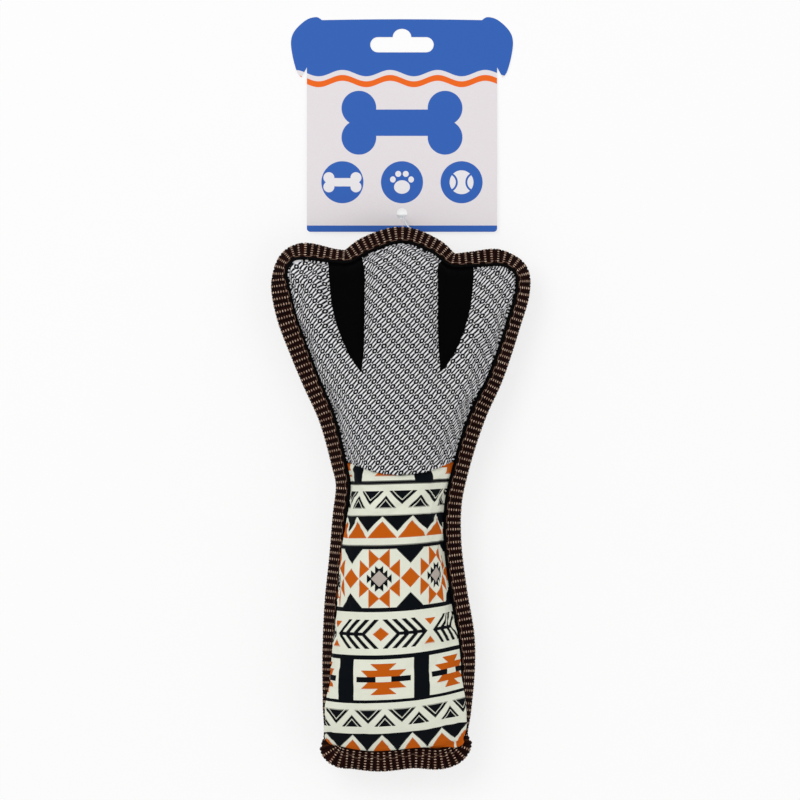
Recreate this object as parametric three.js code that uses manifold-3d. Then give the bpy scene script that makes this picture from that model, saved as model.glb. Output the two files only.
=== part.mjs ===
// A stuffed dog toy in the shape of a leg and paw, lying on its back, with its card hang tag.
// Millimetres. +Z up through the toy's front, +Y towards the toes and the tag, +X to the viewer's right.
// The origin lies on the surface that the toy rests on, under the middle of its length.
import * as THREE from 'three';
import Module from 'manifold-3d';
import { mergeVertices } from 'three/addons/utils/BufferGeometryUtils.js';

const wasm = await Module();
wasm.setup();

// Overall sizes
const toyLength = 271.5;
const toyWidth = 129;
const toyThickness = 48;

// Covers, lining and filling
const coverThickness = 1;
const liningThickness = 0.6;
const layerGap = 0.3;
const seamHalfGap = 0.25;
const restCutDepth = 0.5;
const toeTaperLength = 52;
const heelTaperLength = 46;
const ankleSeamSag = 6.2;
const flankRun = 27.8;

// Binding tape folded over the seam
const bindingWidth = 10;
const bottomBindingWidth = 11;
const tapeThickness = 1.1;
const tapeGap = 0.6;
const tapeEdgeChamfer = 0.9;
const foldRoom = 2.4;
const tapeInnerMargin = 0.4;
const bindingEndGap = 0.4;

// Gaps between the toes
const toeGapTopHalfWidth = 8.45;
const toeGapOffset = 27.75;
const toeGapLength = 55;
const toeGapCentre = 0.6;
const toeGapReach = 30;

// Squeaker
const bulbRadius = 17;
const bulbHalfHeight = 10;
const bulbWall = 0.9;
const bulbNeckRadius = 4.6;
const bulbNeckHeight = 3;
const plugFlangeRadius = 5.6;
const plugFlangeThickness = 1;
const plugBoreRadius = 2;
const plugLength = 6;
const reedWidth = 3.2;
const reedThickness = 0.3;
const reedLength = 4.4;
const pocketClearance = 0.5;

// Hang tag card
const cardBodyWidth = 95.8;
const earOverhang = 8.1;
const cardHeight = 108.3;
const cardThickness = 0.45;
const cardCornerRadius = 1.8;
const cardMiddle = 1;
const cardOverlap = 1.35;
const slotWidth = 32;
const slotHeight = 7.7;
const slotTotalHeight = 11.9;
const slotHumpWidth = 9.4;
const slotBottomHeight = 90.5;
const pinHoleRadius = 2.75;
const pinHoleHeight = 9.35;

// Tag pin
const filamentRadius = 0.4;
const pinRunningGap = 0.3;
const crossBarRadius = 0.45;
const crossBarLength = 6;
const paddleLength = 10;
const paddleWidth = 1.4;
const paddleThickness = 1;
const paddleDrop = 2;
const pinFlexGap = 0.5;
const pinStubLength = 0.5;

// Counts of facets
const acrossSteps = 12;
const footSteps = 10;
const legSteps = 13;
const edgeRingsPerStation = 2;
const bottomRingsPerStation = 4;
const lengthSamples = 160;
const roundSides = 12;
const cutOverrun = 5;

// The seam line, clockwise from the bottom left corner: x as a share of the toy's width, y as a share of
// its length, how far the binding leans back as a share of its most lean, which is the slope of the toy's
// flank, and how far the front bulges out over the binding as a share of the toy's thickness.
const seamShares = [
  [-0.235, -0.4475, 0.529, 0.06], [-0.242, -0.412, 0.75, 0.135], [-0.240, -0.361, 0.926, 0.146],
  [-0.234, -0.284, 0.97, 0.10], [-0.228, -0.192, 0.97, 0.06], [-0.211, -0.107, 0.926, 0.035],
  [-0.199, -0.033, 0.882, 0], [-0.186, 0.029, 0.838, 0], [-0.200, 0.070, 0.772, 0],
  [-0.244, 0.157, 0.617, 0], [-0.305, 0.225, 0.397, 0], [-0.357, 0.287, 0.132, 0],
  [-0.398, 0.339, 0, 0], [-0.420, 0.387, 0, 0], [-0.4295, 0.420, 0.132, 0], [-0.414, 0.437, 0.287, 0],
  [-0.372, 0.4405, 0.397, 0], [-0.267, 0.434, 0.441, 0], [-0.186, 0.4375, 0.485, 0],
  [-0.116, 0.4515, 0.617, 0], [0.008, 0.468, 0.728, 0], [0.124, 0.454, 0.683, 0],
  [0.190, 0.438, 0.617, 0], [0.279, 0.4305, 0.529, 0], [0.380, 0.4345, 0.485, 0],
  [0.418, 0.430, 0.728, 0.02], [0.434, 0.413, 0.948, 0.035], [0.436, 0.383, 0.948, 0.02],
  [0.403, 0.3295, 0.926, 0], [0.3705, 0.280, 0.926, 0], [0.3295, 0.228, 0.816, 0],
  [0.270, 0.171, 0.617, 0], [0.2295, 0.118, 0.617, 0], [0.2005, 0.070, 0.683, 0], [0.1745, 0, 0.772, 0],
  [0.169, -0.074, 0.683, 0], [0.186, -0.166, 0.617, 0], [0.2145, -0.254, 0.617, 0],
  [0.222, -0.317, 0.926, 0.035], [0.2175, -0.376, 0.926, 0.085], [0.208, -0.416, 0.728, 0.108],
  [0.198, -0.445, 0.485, 0.05], [0.155, -0.454, 0.331, 0], [0.054, -0.4515, 0.132, 0],
  [-0.078, -0.4597, 0.132, 0], [-0.186, -0.4575, 0.331, 0],
];
// Where the four corners and the two ends of the ankle seam lie in that list
const bottomLeft = 0;
const ankleLeft = 8;
const topLeft = 15;
const topRight = 25;
const ankleRight = 33;
const bottomRight = 41;
const toeTipStation = 20;
const pinStation = 20.15;
// How far the seam allowance spreads round a corner, and how far from the corner it starts, in stations
const cornerFan = 0.45;
const cornerFanReach = 3;
// The steps over which a slope of the surface and a length along the seam line are measured
const slopeStep = 0.01;
const stationStep = 0.1;
const seamCount = seamShares.length;

// The outer edge of a toe gap: distance from its straight inner edge as a share of its width at the top,
// and distance from its tip as a share of its length
const toeGapEdgeShares = [[1, 1], [0.93, 0.59], [0.68, 0.33], [0.41, 0.165], [0, 0]];

// The ear at each top corner of the card: x as a share of its overhang, out from the card's side, and y as a
// share of the card's height
const earShares = [
  [0.343, 0.719], [0.62, 0.745], [0.896, 0.82], [0.986, 0.89], [0.723, 0.94], [0.032, 0.987], [-0.59, 1],
  [-0.936, 0.986],
];
const cardShoulderShare = 0.766;
const cardTopShare = 0.994;

// Fabric and plastic finishes
const meshFabric = new THREE.MeshStandardMaterial({ color: 0x9a9a9e, roughness: 0.9, metalness: 0 });
const printedFabric = new THREE.MeshStandardMaterial({ color: 0xe6e4d6, roughness: 0.85, metalness: 0 });
const blackFabric = new THREE.MeshStandardMaterial({ color: 0x0a0a0b, roughness: 0.9, metalness: 0 });
const liningFabric = new THREE.MeshStandardMaterial({ color: 0xd8d8d8, roughness: 0.9, metalness: 0 });
const fibreFilling = new THREE.MeshStandardMaterial({ color: 0xf2f2ee, roughness: 1, metalness: 0 });
const webbing = new THREE.MeshStandardMaterial({ color: 0x24110b, roughness: 0.8, metalness: 0 });
const bulbPlastic = new THREE.MeshStandardMaterial({ color: 0xf0f0ea, roughness: 0.45, metalness: 0 });
const reedPlastic = new THREE.MeshStandardMaterial({ color: 0xd9d9d2, roughness: 0.4, metalness: 0 });
const tagCard = new THREE.MeshStandardMaterial({ color: 0xe6e3e6, roughness: 0.6, metalness: 0 });
const nylon = new THREE.MeshStandardMaterial({ color: 0xf4f4f4, roughness: 0.35, metalness: 0 });

const rightAngle = Math.PI / 2;
const halfThickness = toyThickness / 2;
const mostLean = Math.atan2(halfThickness, flankRun);
const midHeight = halfThickness - restCutDepth;
const coverTop = seamHalfGap + coverThickness;
const grooveHalfHeight = coverTop + tapeGap;
const tapeHalfHeight = grooveHalfHeight + tapeThickness;
const seamAllowance = bindingWidth - tapeThickness - foldRoom;
const up = new THREE.Vector3(0, 0, 1);

// A closed solid between two grids of points, the first of them above the second
function gridSolid(upper, lower) {
  const rows = upper.length;
  const columns = upper[0].length;
  const positions = [...upper.flat(), ...lower.flat()].flatMap((p) => p.toArray());
  const faces = [];
  const at = (layer, i, j) => (layer * rows + i) * columns + j;
  const quad = (a, b, c, d) => faces.push(a, b, c, a, c, d);
  for (let i = 0; i < rows - 1; i++) {
    for (let j = 0; j < columns - 1; j++) {
      quad(at(0, i, j), at(0, i, j + 1), at(0, i + 1, j + 1), at(0, i + 1, j));
      quad(at(1, i, j), at(1, i + 1, j), at(1, i + 1, j + 1), at(1, i, j + 1));
    }
  }
  const lastRow = rows - 1;
  const lastColumn = columns - 1;
  for (let j = 0; j < lastColumn; j++) {
    quad(at(1, 0, j), at(1, 0, j + 1), at(0, 0, j + 1), at(0, 0, j));
    quad(at(0, lastRow, j), at(0, lastRow, j + 1), at(1, lastRow, j + 1), at(1, lastRow, j));
  }
  for (let i = 0; i < lastRow; i++) {
    quad(at(1, i + 1, 0), at(1, i, 0), at(0, i, 0), at(0, i + 1, 0));
    quad(at(1, i, lastColumn), at(1, i + 1, lastColumn), at(0, i + 1, lastColumn), at(0, i, lastColumn));
  }
  return indexedGeometry(positions, faces);
}

function indexedGeometry(positions, faces) {
  const geometry = new THREE.BufferGeometry();
  geometry.setAttribute('position', new THREE.Float32BufferAttribute(positions, 3));
  geometry.setIndex(faces);
  return geometry;
}

// A closed solid swept through rings of points that run counter-clockwise round the way ahead
function sweepSolid(rings, sectionFaces) {
  const sides = rings[0].length;
  const positions = rings.flat().flatMap((p) => p.toArray());
  const faces = [];
  for (let k = 0; k < rings.length - 1; k++) {
    for (let p = 0; p < sides; p++) {
      const a = k * sides + p;
      const b = k * sides + ((p + 1) % sides);
      faces.push(a, b, b + sides, a, b + sides, a + sides);
    }
  }
  const last = (rings.length - 1) * sides;
  for (const [a, b, c] of sectionFaces) {
    faces.push(a, c, b);
    faces.push(last + a, last + b, last + c);
  }
  return indexedGeometry(positions, faces);
}

// Booleans on closed meshes
function solidFrom(geometry) {
  const bare = geometry.clone();
  bare.deleteAttribute('normal');
  bare.deleteAttribute('uv');
  const merged = mergeVertices(bare);
  return new wasm.Manifold(new wasm.Mesh({
    numProp: 3,
    vertProperties: new Float32Array(merged.attributes.position.array),
    triVerts: new Uint32Array(merged.index.array),
  }));
}

function geometryFrom(solid) {
  const mesh = solid.getMesh();
  return indexedGeometry(Array.from(mesh.vertProperties), Array.from(mesh.triVerts));
}

const cut = (geometry, tool) => geometryFrom(solidFrom(geometry).subtract(solidFrom(tool)));
const join = (geometry, other) => geometryFrom(solidFrom(geometry).add(solidFrom(other)));
const common = (geometry, tool) => geometryFrom(solidFrom(geometry).intersect(solidFrom(tool)));

function placedGeometry(geometry, position, rotation = new THREE.Euler()) {
  const matrix = new THREE.Matrix4().makeRotationFromEuler(rotation).setPosition(position);
  return geometry.applyMatrix4(matrix);
}

// The seam line as a closed curve; its z holds the lean, and a second curve's z holds the bulge.
const closedCurve = (points) => new THREE.CatmullRomCurve3(points, true);
const seamPoint = (x, y, z) => new THREE.Vector3(x * toyWidth, y * toyLength, z);
const seamCurve = closedCurve(seamShares.map(([x, y, lean]) => seamPoint(x, y, lean * mostLean)));
const bulgeCurve = closedCurve(seamShares.map(([x, y, , bulge]) => seamPoint(x, y, bulge * toyThickness)));

// Everything about one place on the seam line, numbered as in seamShares
function seamAt(station) {
  const share = (((station % seamCount) + seamCount) % seamCount) / seamCount;
  const point = seamCurve.getPoint(share);
  const lean = Math.max(point.z, 0);
  const tangent = seamCurve.getTangent(share).setZ(0).normalize();
  const outward = tangent.clone().cross(up).negate();
  const bulge = Math.max(bulgeCurve.getPoint(share).z, 0);
  return { point: new THREE.Vector3(point.x, point.y, midHeight), lean, tangent, outward, bulge };
}

// A point on the leaning band along the seam: out from the seam line, and above or below the band's middle
function bandPoint(seam, out, above) {
  const { point, lean, outward } = seam;
  const sideways = out * Math.cos(lean) + above * Math.sin(lean);
  const height = above * Math.cos(lean) - out * Math.sin(lean);
  return point.clone().addScaledVector(outward, sideways).addScaledVector(up, height);
}

// Turns a share of the way along a stretch of the seam line into its station
function stationRun(from, to) {
  const stations = [];
  const lengths = [0];
  let previous = null;
  for (let k = 0; k <= lengthSamples; k++) {
    const station = from + ((to - from) * k) / lengthSamples;
    const { point } = seamAt(station);
    if (previous) lengths.push(lengths[k - 1] + point.distanceTo(previous));
    stations.push(station);
    previous = point;
  }
  const total = lengths[lengthSamples];
  const stationOf = (share) => {
    const wanted = share * total;
    let k = 1;
    while (k < lengthSamples && lengths[k] < wanted) k++;
    const within = (wanted - lengths[k - 1]) / (lengths[k] - lengths[k - 1]);
    return stations[k - 1] + (stations[k] - stations[k - 1]) * within;
  };
  return { stationOf, total };
}

// The ankle seam crosses the toy in a shallow sag.
function anklePoint(across) {
  const left = seamAt(ankleLeft).point;
  const right = seamAt(ankleRight).point;
  const sag = ankleSeamSag * (1 - (2 * across - 1) ** 2);
  return new THREE.Vector3().lerpVectors(left, right, across).setY(
    THREE.MathUtils.lerp(left.y, right.y, across) - sag);
}

// The two four-sided regions of the body: share 0 of the way along is the bottom of each
const legSides = {
  left: stationRun(bottomLeft, ankleLeft),
  right: stationRun(bottomRight, ankleRight),
  end: stationRun(seamCount + bottomLeft, bottomRight),
};
const footSides = {
  left: stationRun(ankleLeft, topLeft),
  right: stationRun(ankleRight, topRight),
  end: stationRun(topLeft, topRight),
};
const legRegion = {
  ...legSides,
  endAtTop: false,
  taper: heelTaperLength,
  length: legSides.left.total,
  lowEdge: (across) => seamAt(legSides.end.stationOf(across)).point,
  highEdge: anklePoint,
};
const footRegion = {
  ...footSides,
  endAtTop: true,
  taper: toeTaperLength,
  length: footSides.left.total,
  lowEdge: anklePoint,
  highEdge: (across) => seamAt(footSides.end.stationOf(across)).point,
};

// The blend of a region's four edges
function insideRegion(region, across, along) {
  const left = (t) => seamAt(region.left.stationOf(t)).point;
  const right = (t) => seamAt(region.right.stationOf(t)).point;
  const blend = new THREE.Vector3();
  blend.addScaledVector(region.lowEdge(across), 1 - along);
  blend.addScaledVector(region.highEdge(across), along);
  blend.addScaledVector(left(along), 1 - across);
  blend.addScaledVector(right(along), across);
  blend.addScaledVector(left(0), -(1 - across) * (1 - along));
  blend.addScaledVector(right(0), -across * (1 - along));
  blend.addScaledVector(left(1), -(1 - across) * along);
  blend.addScaledVector(right(1), -across * along);
  return blend;
}

// How full the body is at a share of the way along a region: it closes to nothing at the sewn end.
function fullness(region, along) {
  const fromEnd = (region.endAtTop ? 1 - along : along) * region.length;
  const short = 1 - Math.min(fromEnd / region.taper, 1);
  return Math.sqrt(1 - short * short);
}

// A point on the swelling front or back of the body. The angle runs from 0 at the left seam to pi at the
// right one.
function bodyPoint(region, side, angle, along) {
  const across = (1 - Math.cos(angle)) / 2;
  const point = insideRegion(region, across, along);
  const full = fullness(region, along);
  const rise = coverTop + (halfThickness - coverTop) * Math.sin(angle) * full;
  const seam = seamAt((angle < rightAngle ? region.left : region.right).stationOf(along));
  if (side > 0) point.addScaledVector(seam.outward, seam.bulge * Math.abs(Math.sin(2 * angle)) * full);
  return point.addScaledVector(up, side * rise);
}

// The same point moved in by a depth, square to the surface
function bodyPointAtDepth(region, side, angle, along, depth) {
  const angleStep = angle + slopeStep < Math.PI ? slopeStep : -slopeStep;
  const alongStep = along + slopeStep < 1 ? slopeStep : -slopeStep;
  const here = bodyPoint(region, side, angle, along);
  const overAngle = bodyPoint(region, side, angle + angleStep, along).sub(here);
  const overAlong = bodyPoint(region, side, angle, along + alongStep).sub(here);
  const turnedRound = Math.sign(angleStep) * Math.sign(alongStep);
  const normal = overAngle.cross(overAlong).normalize().multiplyScalar(side * turnedRound);
  return here.addScaledVector(normal, -depth);
}

// Shares of the way along a region, closer together where it tapers
function alongShares(region, steps) {
  const taperSteps = Math.ceil(steps / 2);
  const taperShare = region.taper / region.length;
  const shares = [];
  for (let k = 0; k <= taperSteps; k++) {
    shares.push(taperShare * (1 - Math.cos((rightAngle * k) / taperSteps)));
  }
  for (let k = 1; k <= steps - taperSteps; k++) {
    shares.push(taperShare + (1 - taperShare) * (k / (steps - taperSteps)));
  }
  return region.endAtTop ? shares.map((s) => 1 - s).reverse() : shares;
}

// Half of the gap across the ankle seam, taken off a region's joined end
function keptShares(region, steps, gap) {
  const trim = gap / 2 / region.length;
  const kept = (share) => (region.endAtTop ? Math.max(share, trim) : Math.min(share, 1 - trim));
  return alongShares(region, steps).map(kept);
}

// A layer of the body without a seam allowance, at a depth under the outer surface
function layerGrid(rows, side, depth, across) {
  return rows.map(({ region, along, isEnd }) => {
    const row = [];
    for (let j = 0; j <= across; j++) {
      const edge = j === 0 || j === across || isEnd;
      row.push(edge ? edgePoint(region, side, j, across, along, isEnd, depth)
        : bodyPointAtDepth(region, side, (Math.PI * j) / across, along, depth));
    }
    return row;
  });
}

// Where a layer meets the seam's middle
function edgePoint(region, side, j, across, along, isEnd, depth) {
  const share = (1 - Math.cos((Math.PI * j) / across)) / 2;
  const corner = isEnd && (j === 0 || j === across);
  let seam;
  if (isEnd && !corner) seam = seamAt(region.end.stationOf(share));
  else seam = seamAt((share < 0.5 ? region.left : region.right).stationOf(along));
  return bandPoint(seam, -depth, side * seamHalfGap);
}

const rowsOf = (region, steps, gap) => keptShares(region, steps, gap).map((along) => ({
  region, along, isEnd: region.endAtTop ? along === 1 : along === 0,
}));

// A cover panel: the swelling surface with a flat seam allowance round its sewn edges
function coverPanel(region, steps, side) {
  const rows = rowsOf(region, steps, layerGap);
  const outer = [];
  const inner = [];
  for (const { along, isEnd } of rows) {
    const leftSeam = seamAt(region.left.stationOf(along));
    const rightSeam = seamAt(region.right.stationOf(along));
    const outerRow = [];
    const innerRow = [];
    for (let j = 0; j <= acrossSteps; j++) {
      const angle = (Math.PI * j) / acrossSteps;
      const share = (1 - Math.cos(angle)) / 2;
      let seam = null;
      if (j === 0) seam = leftSeam;
      else if (j === acrossSteps) seam = rightSeam;
      else if (isEnd) seam = seamAt(region.end.stationOf(share));
      outerRow.push(seam ? bandPoint(seam, 0, side * coverTop) : bodyPoint(region, side, angle, along));
      innerRow.push(seam ? bandPoint(seam, -coverThickness, side * seamHalfGap)
        : bodyPointAtDepth(region, side, angle, along, coverThickness));
    }
    const leftTip = fannedSeam(region.left, along, Number(region.endAtTop));
    const rightTip = fannedSeam(region.right, along, Number(region.endAtTop));
    const outerHeight = side * coverTop;
    outer.push([allowanceTip(leftTip, outerHeight), ...outerRow, allowanceTip(rightTip, outerHeight)]);
    const innerHeight = side * seamHalfGap;
    inner.push([allowanceTip(leftTip, innerHeight), ...innerRow, allowanceTip(rightTip, innerHeight)]);
  }
  const endRow = (height) => {
    const ends = [seamAt(region.end.stationOf(0))];
    for (let j = 0; j <= acrossSteps; j++) {
      const share = (1 - Math.cos((Math.PI * j) / acrossSteps)) / 2;
      ends.push(fannedSeam(region.end, share, Number(share > 0.5)));
    }
    ends.push(seamAt(region.end.stationOf(1)));
    return ends.map((seam) => allowanceTip(seam, height));
  };
  if (region.endAtTop) {
    outer.push(endRow(side * coverTop));
    inner.push(endRow(side * seamHalfGap));
  } else {
    outer.unshift(endRow(side * coverTop));
    inner.unshift(endRow(side * seamHalfGap));
  }
  return side > 0 ? gridSolid(outer, inner) : restCut(gridSolid(inner, outer));
}

// Near a corner, the tips of the seam allowance spread away from it, so that they fan round it in order.
function fannedSeam(run, share, cornerShare) {
  const corner = run.stationOf(cornerShare);
  const away = run.stationOf(share) - corner;
  const spread = cornerFan * Math.max(1 - Math.abs(away) / cornerFanReach, 0);
  const direction = Math.sign(run.stationOf(0.5) - corner);
  return seamAt(corner + direction * Math.hypot(away, spread));
}

const allowanceTip = (seam, height) => bandPoint(seam, seamAllowance, height);

// What rests on the ground is cut flat there.
function restCut(geometry) {
  const depth = restCutDepth + cutOverrun;
  const ground = new THREE.BoxGeometry(2 * toyWidth, 2 * toyLength, depth);
  return cut(geometry, placedGeometry(ground, new THREE.Vector3(0, 0, -depth / 2)));
}

// A prism that holds one toe gap, on the left with side -1 and on the right with side 1
function toeGapPrism(side, clearance, front) {
  const tip = toyLength * seamShares[topLeft][1] - toeGapLength;
  const innerEdge = toeGapOffset - toeGapTopHalfWidth;
  const width = 2 * toeGapTopHalfWidth;
  const outerEdge = toeGapEdgeShares.map(([out, along]) => new THREE.Vector2(
    innerEdge + out * width + clearance, tip + along * toeGapLength - clearance));
  const corners = [
    new THREE.Vector2(innerEdge - clearance, tip - clearance),
    new THREE.Vector2(innerEdge - clearance, tip + toeGapLength + toeGapReach),
    new THREE.Vector2(innerEdge + width + clearance, tip + toeGapLength + toeGapReach),
    ...outerEdge,
  ].map((p) => new THREE.Vector2(toeGapCentre + side * p.x, p.y));
  if (side < 0) corners.reverse();
  const outline = new THREE.Shape(corners);
  const prism = new THREE.ExtrudeGeometry(outline, { depth: toyThickness, bevelEnabled: false });
  const base = front ? midHeight - bindingWidth : midHeight + bindingWidth - toyThickness;
  return placedGeometry(prism, new THREE.Vector3(0, 0, base));
}

// The foot panel of one side and the two black patches set into it
function footPieces(side) {
  const whole = coverPanel(footRegion, footSteps, side);
  const front = side > 0;
  const patches = [-1, 1].map((hand) => common(whole, toeGapPrism(hand, 0, front)));
  const mesh = [-1, 1].reduce((rest, hand) => cut(rest, toeGapPrism(hand, layerGap, front)), whole);
  return { mesh, patches };
}

function lining(side) {
  const rows = [
    ...rowsOf(legRegion, legSteps, 0),
    ...rowsOf(footRegion, footSteps, 0).slice(1),
  ];
  const outerDepth = coverThickness + layerGap;
  const outer = layerGrid(rows, side, outerDepth, acrossSteps);
  const inner = layerGrid(rows, side, outerDepth + liningThickness, acrossSteps);
  return side > 0 ? gridSolid(outer, inner) : gridSolid(inner, outer);
}

// Filling of one region, with its half of the pocket for the squeaker
const squeakerCentre = anklePoint(0.5).setZ(midHeight);

function filling(region, steps) {
  const depth = coverThickness + liningThickness + 3 * layerGap;
  const rows = rowsOf(region, steps, layerGap);
  const wad = gridSolid(
    layerGrid(rows, 1, depth, acrossSteps), layerGrid(rows, -1, depth, acrossSteps));
  const pocket = new THREE.SphereGeometry(1, 2 * roundSides, roundSides).rotateX(rightAngle);
  const reach = bulbRadius + pocketClearance;
  const rise = bulbHalfHeight + bulbNeckHeight + plugFlangeThickness + pocketClearance;
  pocket.scale(reach, reach, rise);
  return cut(wad, placedGeometry(pocket, squeakerCentre));
}

// A lathe turned about the vertical line through the squeaker's centre; the profile runs counter-clockwise.
function turned(profile) {
  const points = profile.map(([radius, height]) => new THREE.Vector2(radius, height));
  points.push(points[0].clone());
  return placedGeometry(new THREE.LatheGeometry(points, 2 * roundSides).rotateX(rightAngle), squeakerCentre);
}

function bulb() {
  const steps = roundSides / 2;
  const shell = (radius, half, neck) => {
    const points = [];
    const start = Math.asin(neck / radius);
    for (let k = 0; k <= steps; k++) {
      const angle = start + ((Math.PI - start) * k) / steps;
      points.push([k === steps ? 0 : radius * Math.sin(angle), half * Math.cos(angle)]);
    }
    return points;
  };
  const outer = shell(bulbRadius, bulbHalfHeight, bulbNeckRadius + bulbWall);
  const inner = shell(bulbRadius - bulbWall, bulbHalfHeight - bulbWall, bulbNeckRadius).reverse();
  const neckTop = bulbHalfHeight + bulbNeckHeight - bulbWall;
  const rim = [[bulbNeckRadius, neckTop], [bulbNeckRadius + bulbWall, neckTop]];
  return turned([...inner, ...rim, ...outer].reverse());
}

const plugSeat = bulbHalfHeight + bulbNeckHeight - bulbWall + layerGap;

function plug() {
  const sleeve = bulbNeckRadius - layerGap;
  const top = plugSeat + plugFlangeThickness;
  return turned([
    [plugBoreRadius, plugSeat - plugLength], [sleeve, plugSeat - plugLength], [sleeve, plugSeat],
    [plugFlangeRadius, plugSeat], [plugFlangeRadius, top], [plugBoreRadius, top],
  ]);
}

function reed() {
  const plate = new THREE.BoxGeometry(reedWidth, reedThickness, reedLength);
  const height = plugSeat - plugLength / 2;
  return placedGeometry(plate, squeakerCentre.clone().add(new THREE.Vector3(0, 0, height)));
}

// The folded tape between two stations of the seam line
function binding(from, to, stepsPerStation, width) {
  const fold = width - tapeThickness;
  const sectionOf = (seam) => {
    const inner = (tapeInnerMargin + tapeHalfHeight * Math.sin(seam.lean)) / Math.cos(seam.lean);
    const edge = width - tapeEdgeChamfer;
    const round = tapeHalfHeight - tapeEdgeChamfer;
    return [
      [inner, -tapeHalfHeight], [edge, -tapeHalfHeight], [width, -round], [width, round],
      [edge, tapeHalfHeight], [tapeInnerMargin, tapeHalfHeight], [tapeInnerMargin, grooveHalfHeight],
      [fold, grooveHalfHeight], [fold, -grooveHalfHeight], [inner, -grooveHalfHeight],
    ];
  };
  const steps = Math.round(Math.abs(to - from) * stepsPerStation);
  const rings = [];
  for (let k = 0; k <= steps; k++) {
    const seam = seamAt(from + ((to - from) * k) / steps);
    rings.push(sectionOf(seam).map(([out, above]) => bandPoint(seam, out, above)));
  }
  const flat = sectionOf(seamAt(from)).map(([out, above]) => new THREE.Vector2(out, above));
  return sweepSolid(rings, THREE.ShapeUtils.triangulateShape(flat, []));
}

// How many stations a length along the seam line is near a station
function stationsFor(length, station) {
  const { point } = seamAt(station);
  return (length * stationStep) / point.distanceTo(seamAt(station + stationStep).point);
}

// The pin leaves the toe's binding through a hole in its fold.
const pinSeam = seamAt(pinStation);
const finOutward = bandPoint(pinSeam, bindingWidth, 0).sub(pinSeam.point).normalize();
const pinFlexPoint = bandPoint(pinSeam, bindingWidth + pinStubLength + pinFlexGap / 2, 0);
const crossBarSeat = bindingWidth - tapeThickness - 2 * layerGap - crossBarRadius;
const pinHoleInFold = () => barAlong(bandPoint(pinSeam, crossBarSeat, 0),
  bandPoint(pinSeam, bindingWidth + cutOverrun, 0), filamentRadius + pinRunningGap);

// A round bar between two points
function barAlong(from, to, radius) {
  const way = to.clone().sub(from);
  const bar = new THREE.CylinderGeometry(radius, radius, way.length(), roundSides);
  const ahead = way.clone().normalize();
  bar.applyQuaternion(new THREE.Quaternion().setFromUnitVectors(new THREE.Vector3(0, 1, 0), ahead));
  return placedGeometry(bar, from.clone().add(to).multiplyScalar(0.5));
}

function pinCrossBar() {
  const middle = bandPoint(pinSeam, crossBarSeat, 0);
  const half = pinSeam.tangent.clone().multiplyScalar(crossBarLength / 2);
  const bar = barAlong(middle.clone().sub(half), middle.clone().add(half), crossBarRadius);
  const stubEnd = pinFlexPoint.clone().addScaledVector(finOutward, -pinFlexGap / 2);
  const stub = barAlong(middle, stubEnd, filamentRadius);
  return join(bar, stub);
}

// The card stands on its far edge and on the pin's paddle, so it leans a little.
const hingeHeight = paddleThickness / 2 + paddleDrop;
const hingeOnCard = pinHoleHeight - pinHoleRadius + pinRunningGap + filamentRadius;
const cardLean = Math.asin((hingeHeight - cardThickness / 2) / (cardHeight - hingeOnCard));
const toeEnd = bandPoint(seamAt(toeTipStation), bindingWidth, 0).y;
const cardBase = new THREE.Vector3(cardMiddle, toeEnd - cardOverlap, cardHeight * Math.sin(cardLean));
const hingePoint = new THREE.Vector3(0, hingeOnCard, cardThickness / 2)
  .applyAxisAngle(new THREE.Vector3(1, 0, 0), -cardLean).add(cardBase);

function pinFilament() {
  const way = hingePoint.clone().sub(pinFlexPoint).normalize();
  const start = pinFlexPoint.clone().addScaledVector(way, pinFlexGap / 2);
  const end = hingePoint.clone().addScaledVector(way, paddleDrop);
  const paddleShape = new THREE.Shape();
  const half = paddleLength / 2 - paddleWidth / 2;
  paddleShape.absarc(half, 0, paddleWidth / 2, -rightAngle, rightAngle, false);
  paddleShape.absarc(-half, 0, paddleWidth / 2, rightAngle, 3 * rightAngle, false);
  const paddle = new THREE.ExtrudeGeometry(paddleShape, {
    depth: paddleThickness, bevelEnabled: false, curveSegments: roundSides / 2,
  });
  const seat = end.clone().addScaledVector(up, -paddleThickness / 2);
  return join(barAlong(start, end, filamentRadius), placedGeometry(paddle, seat));
}

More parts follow.
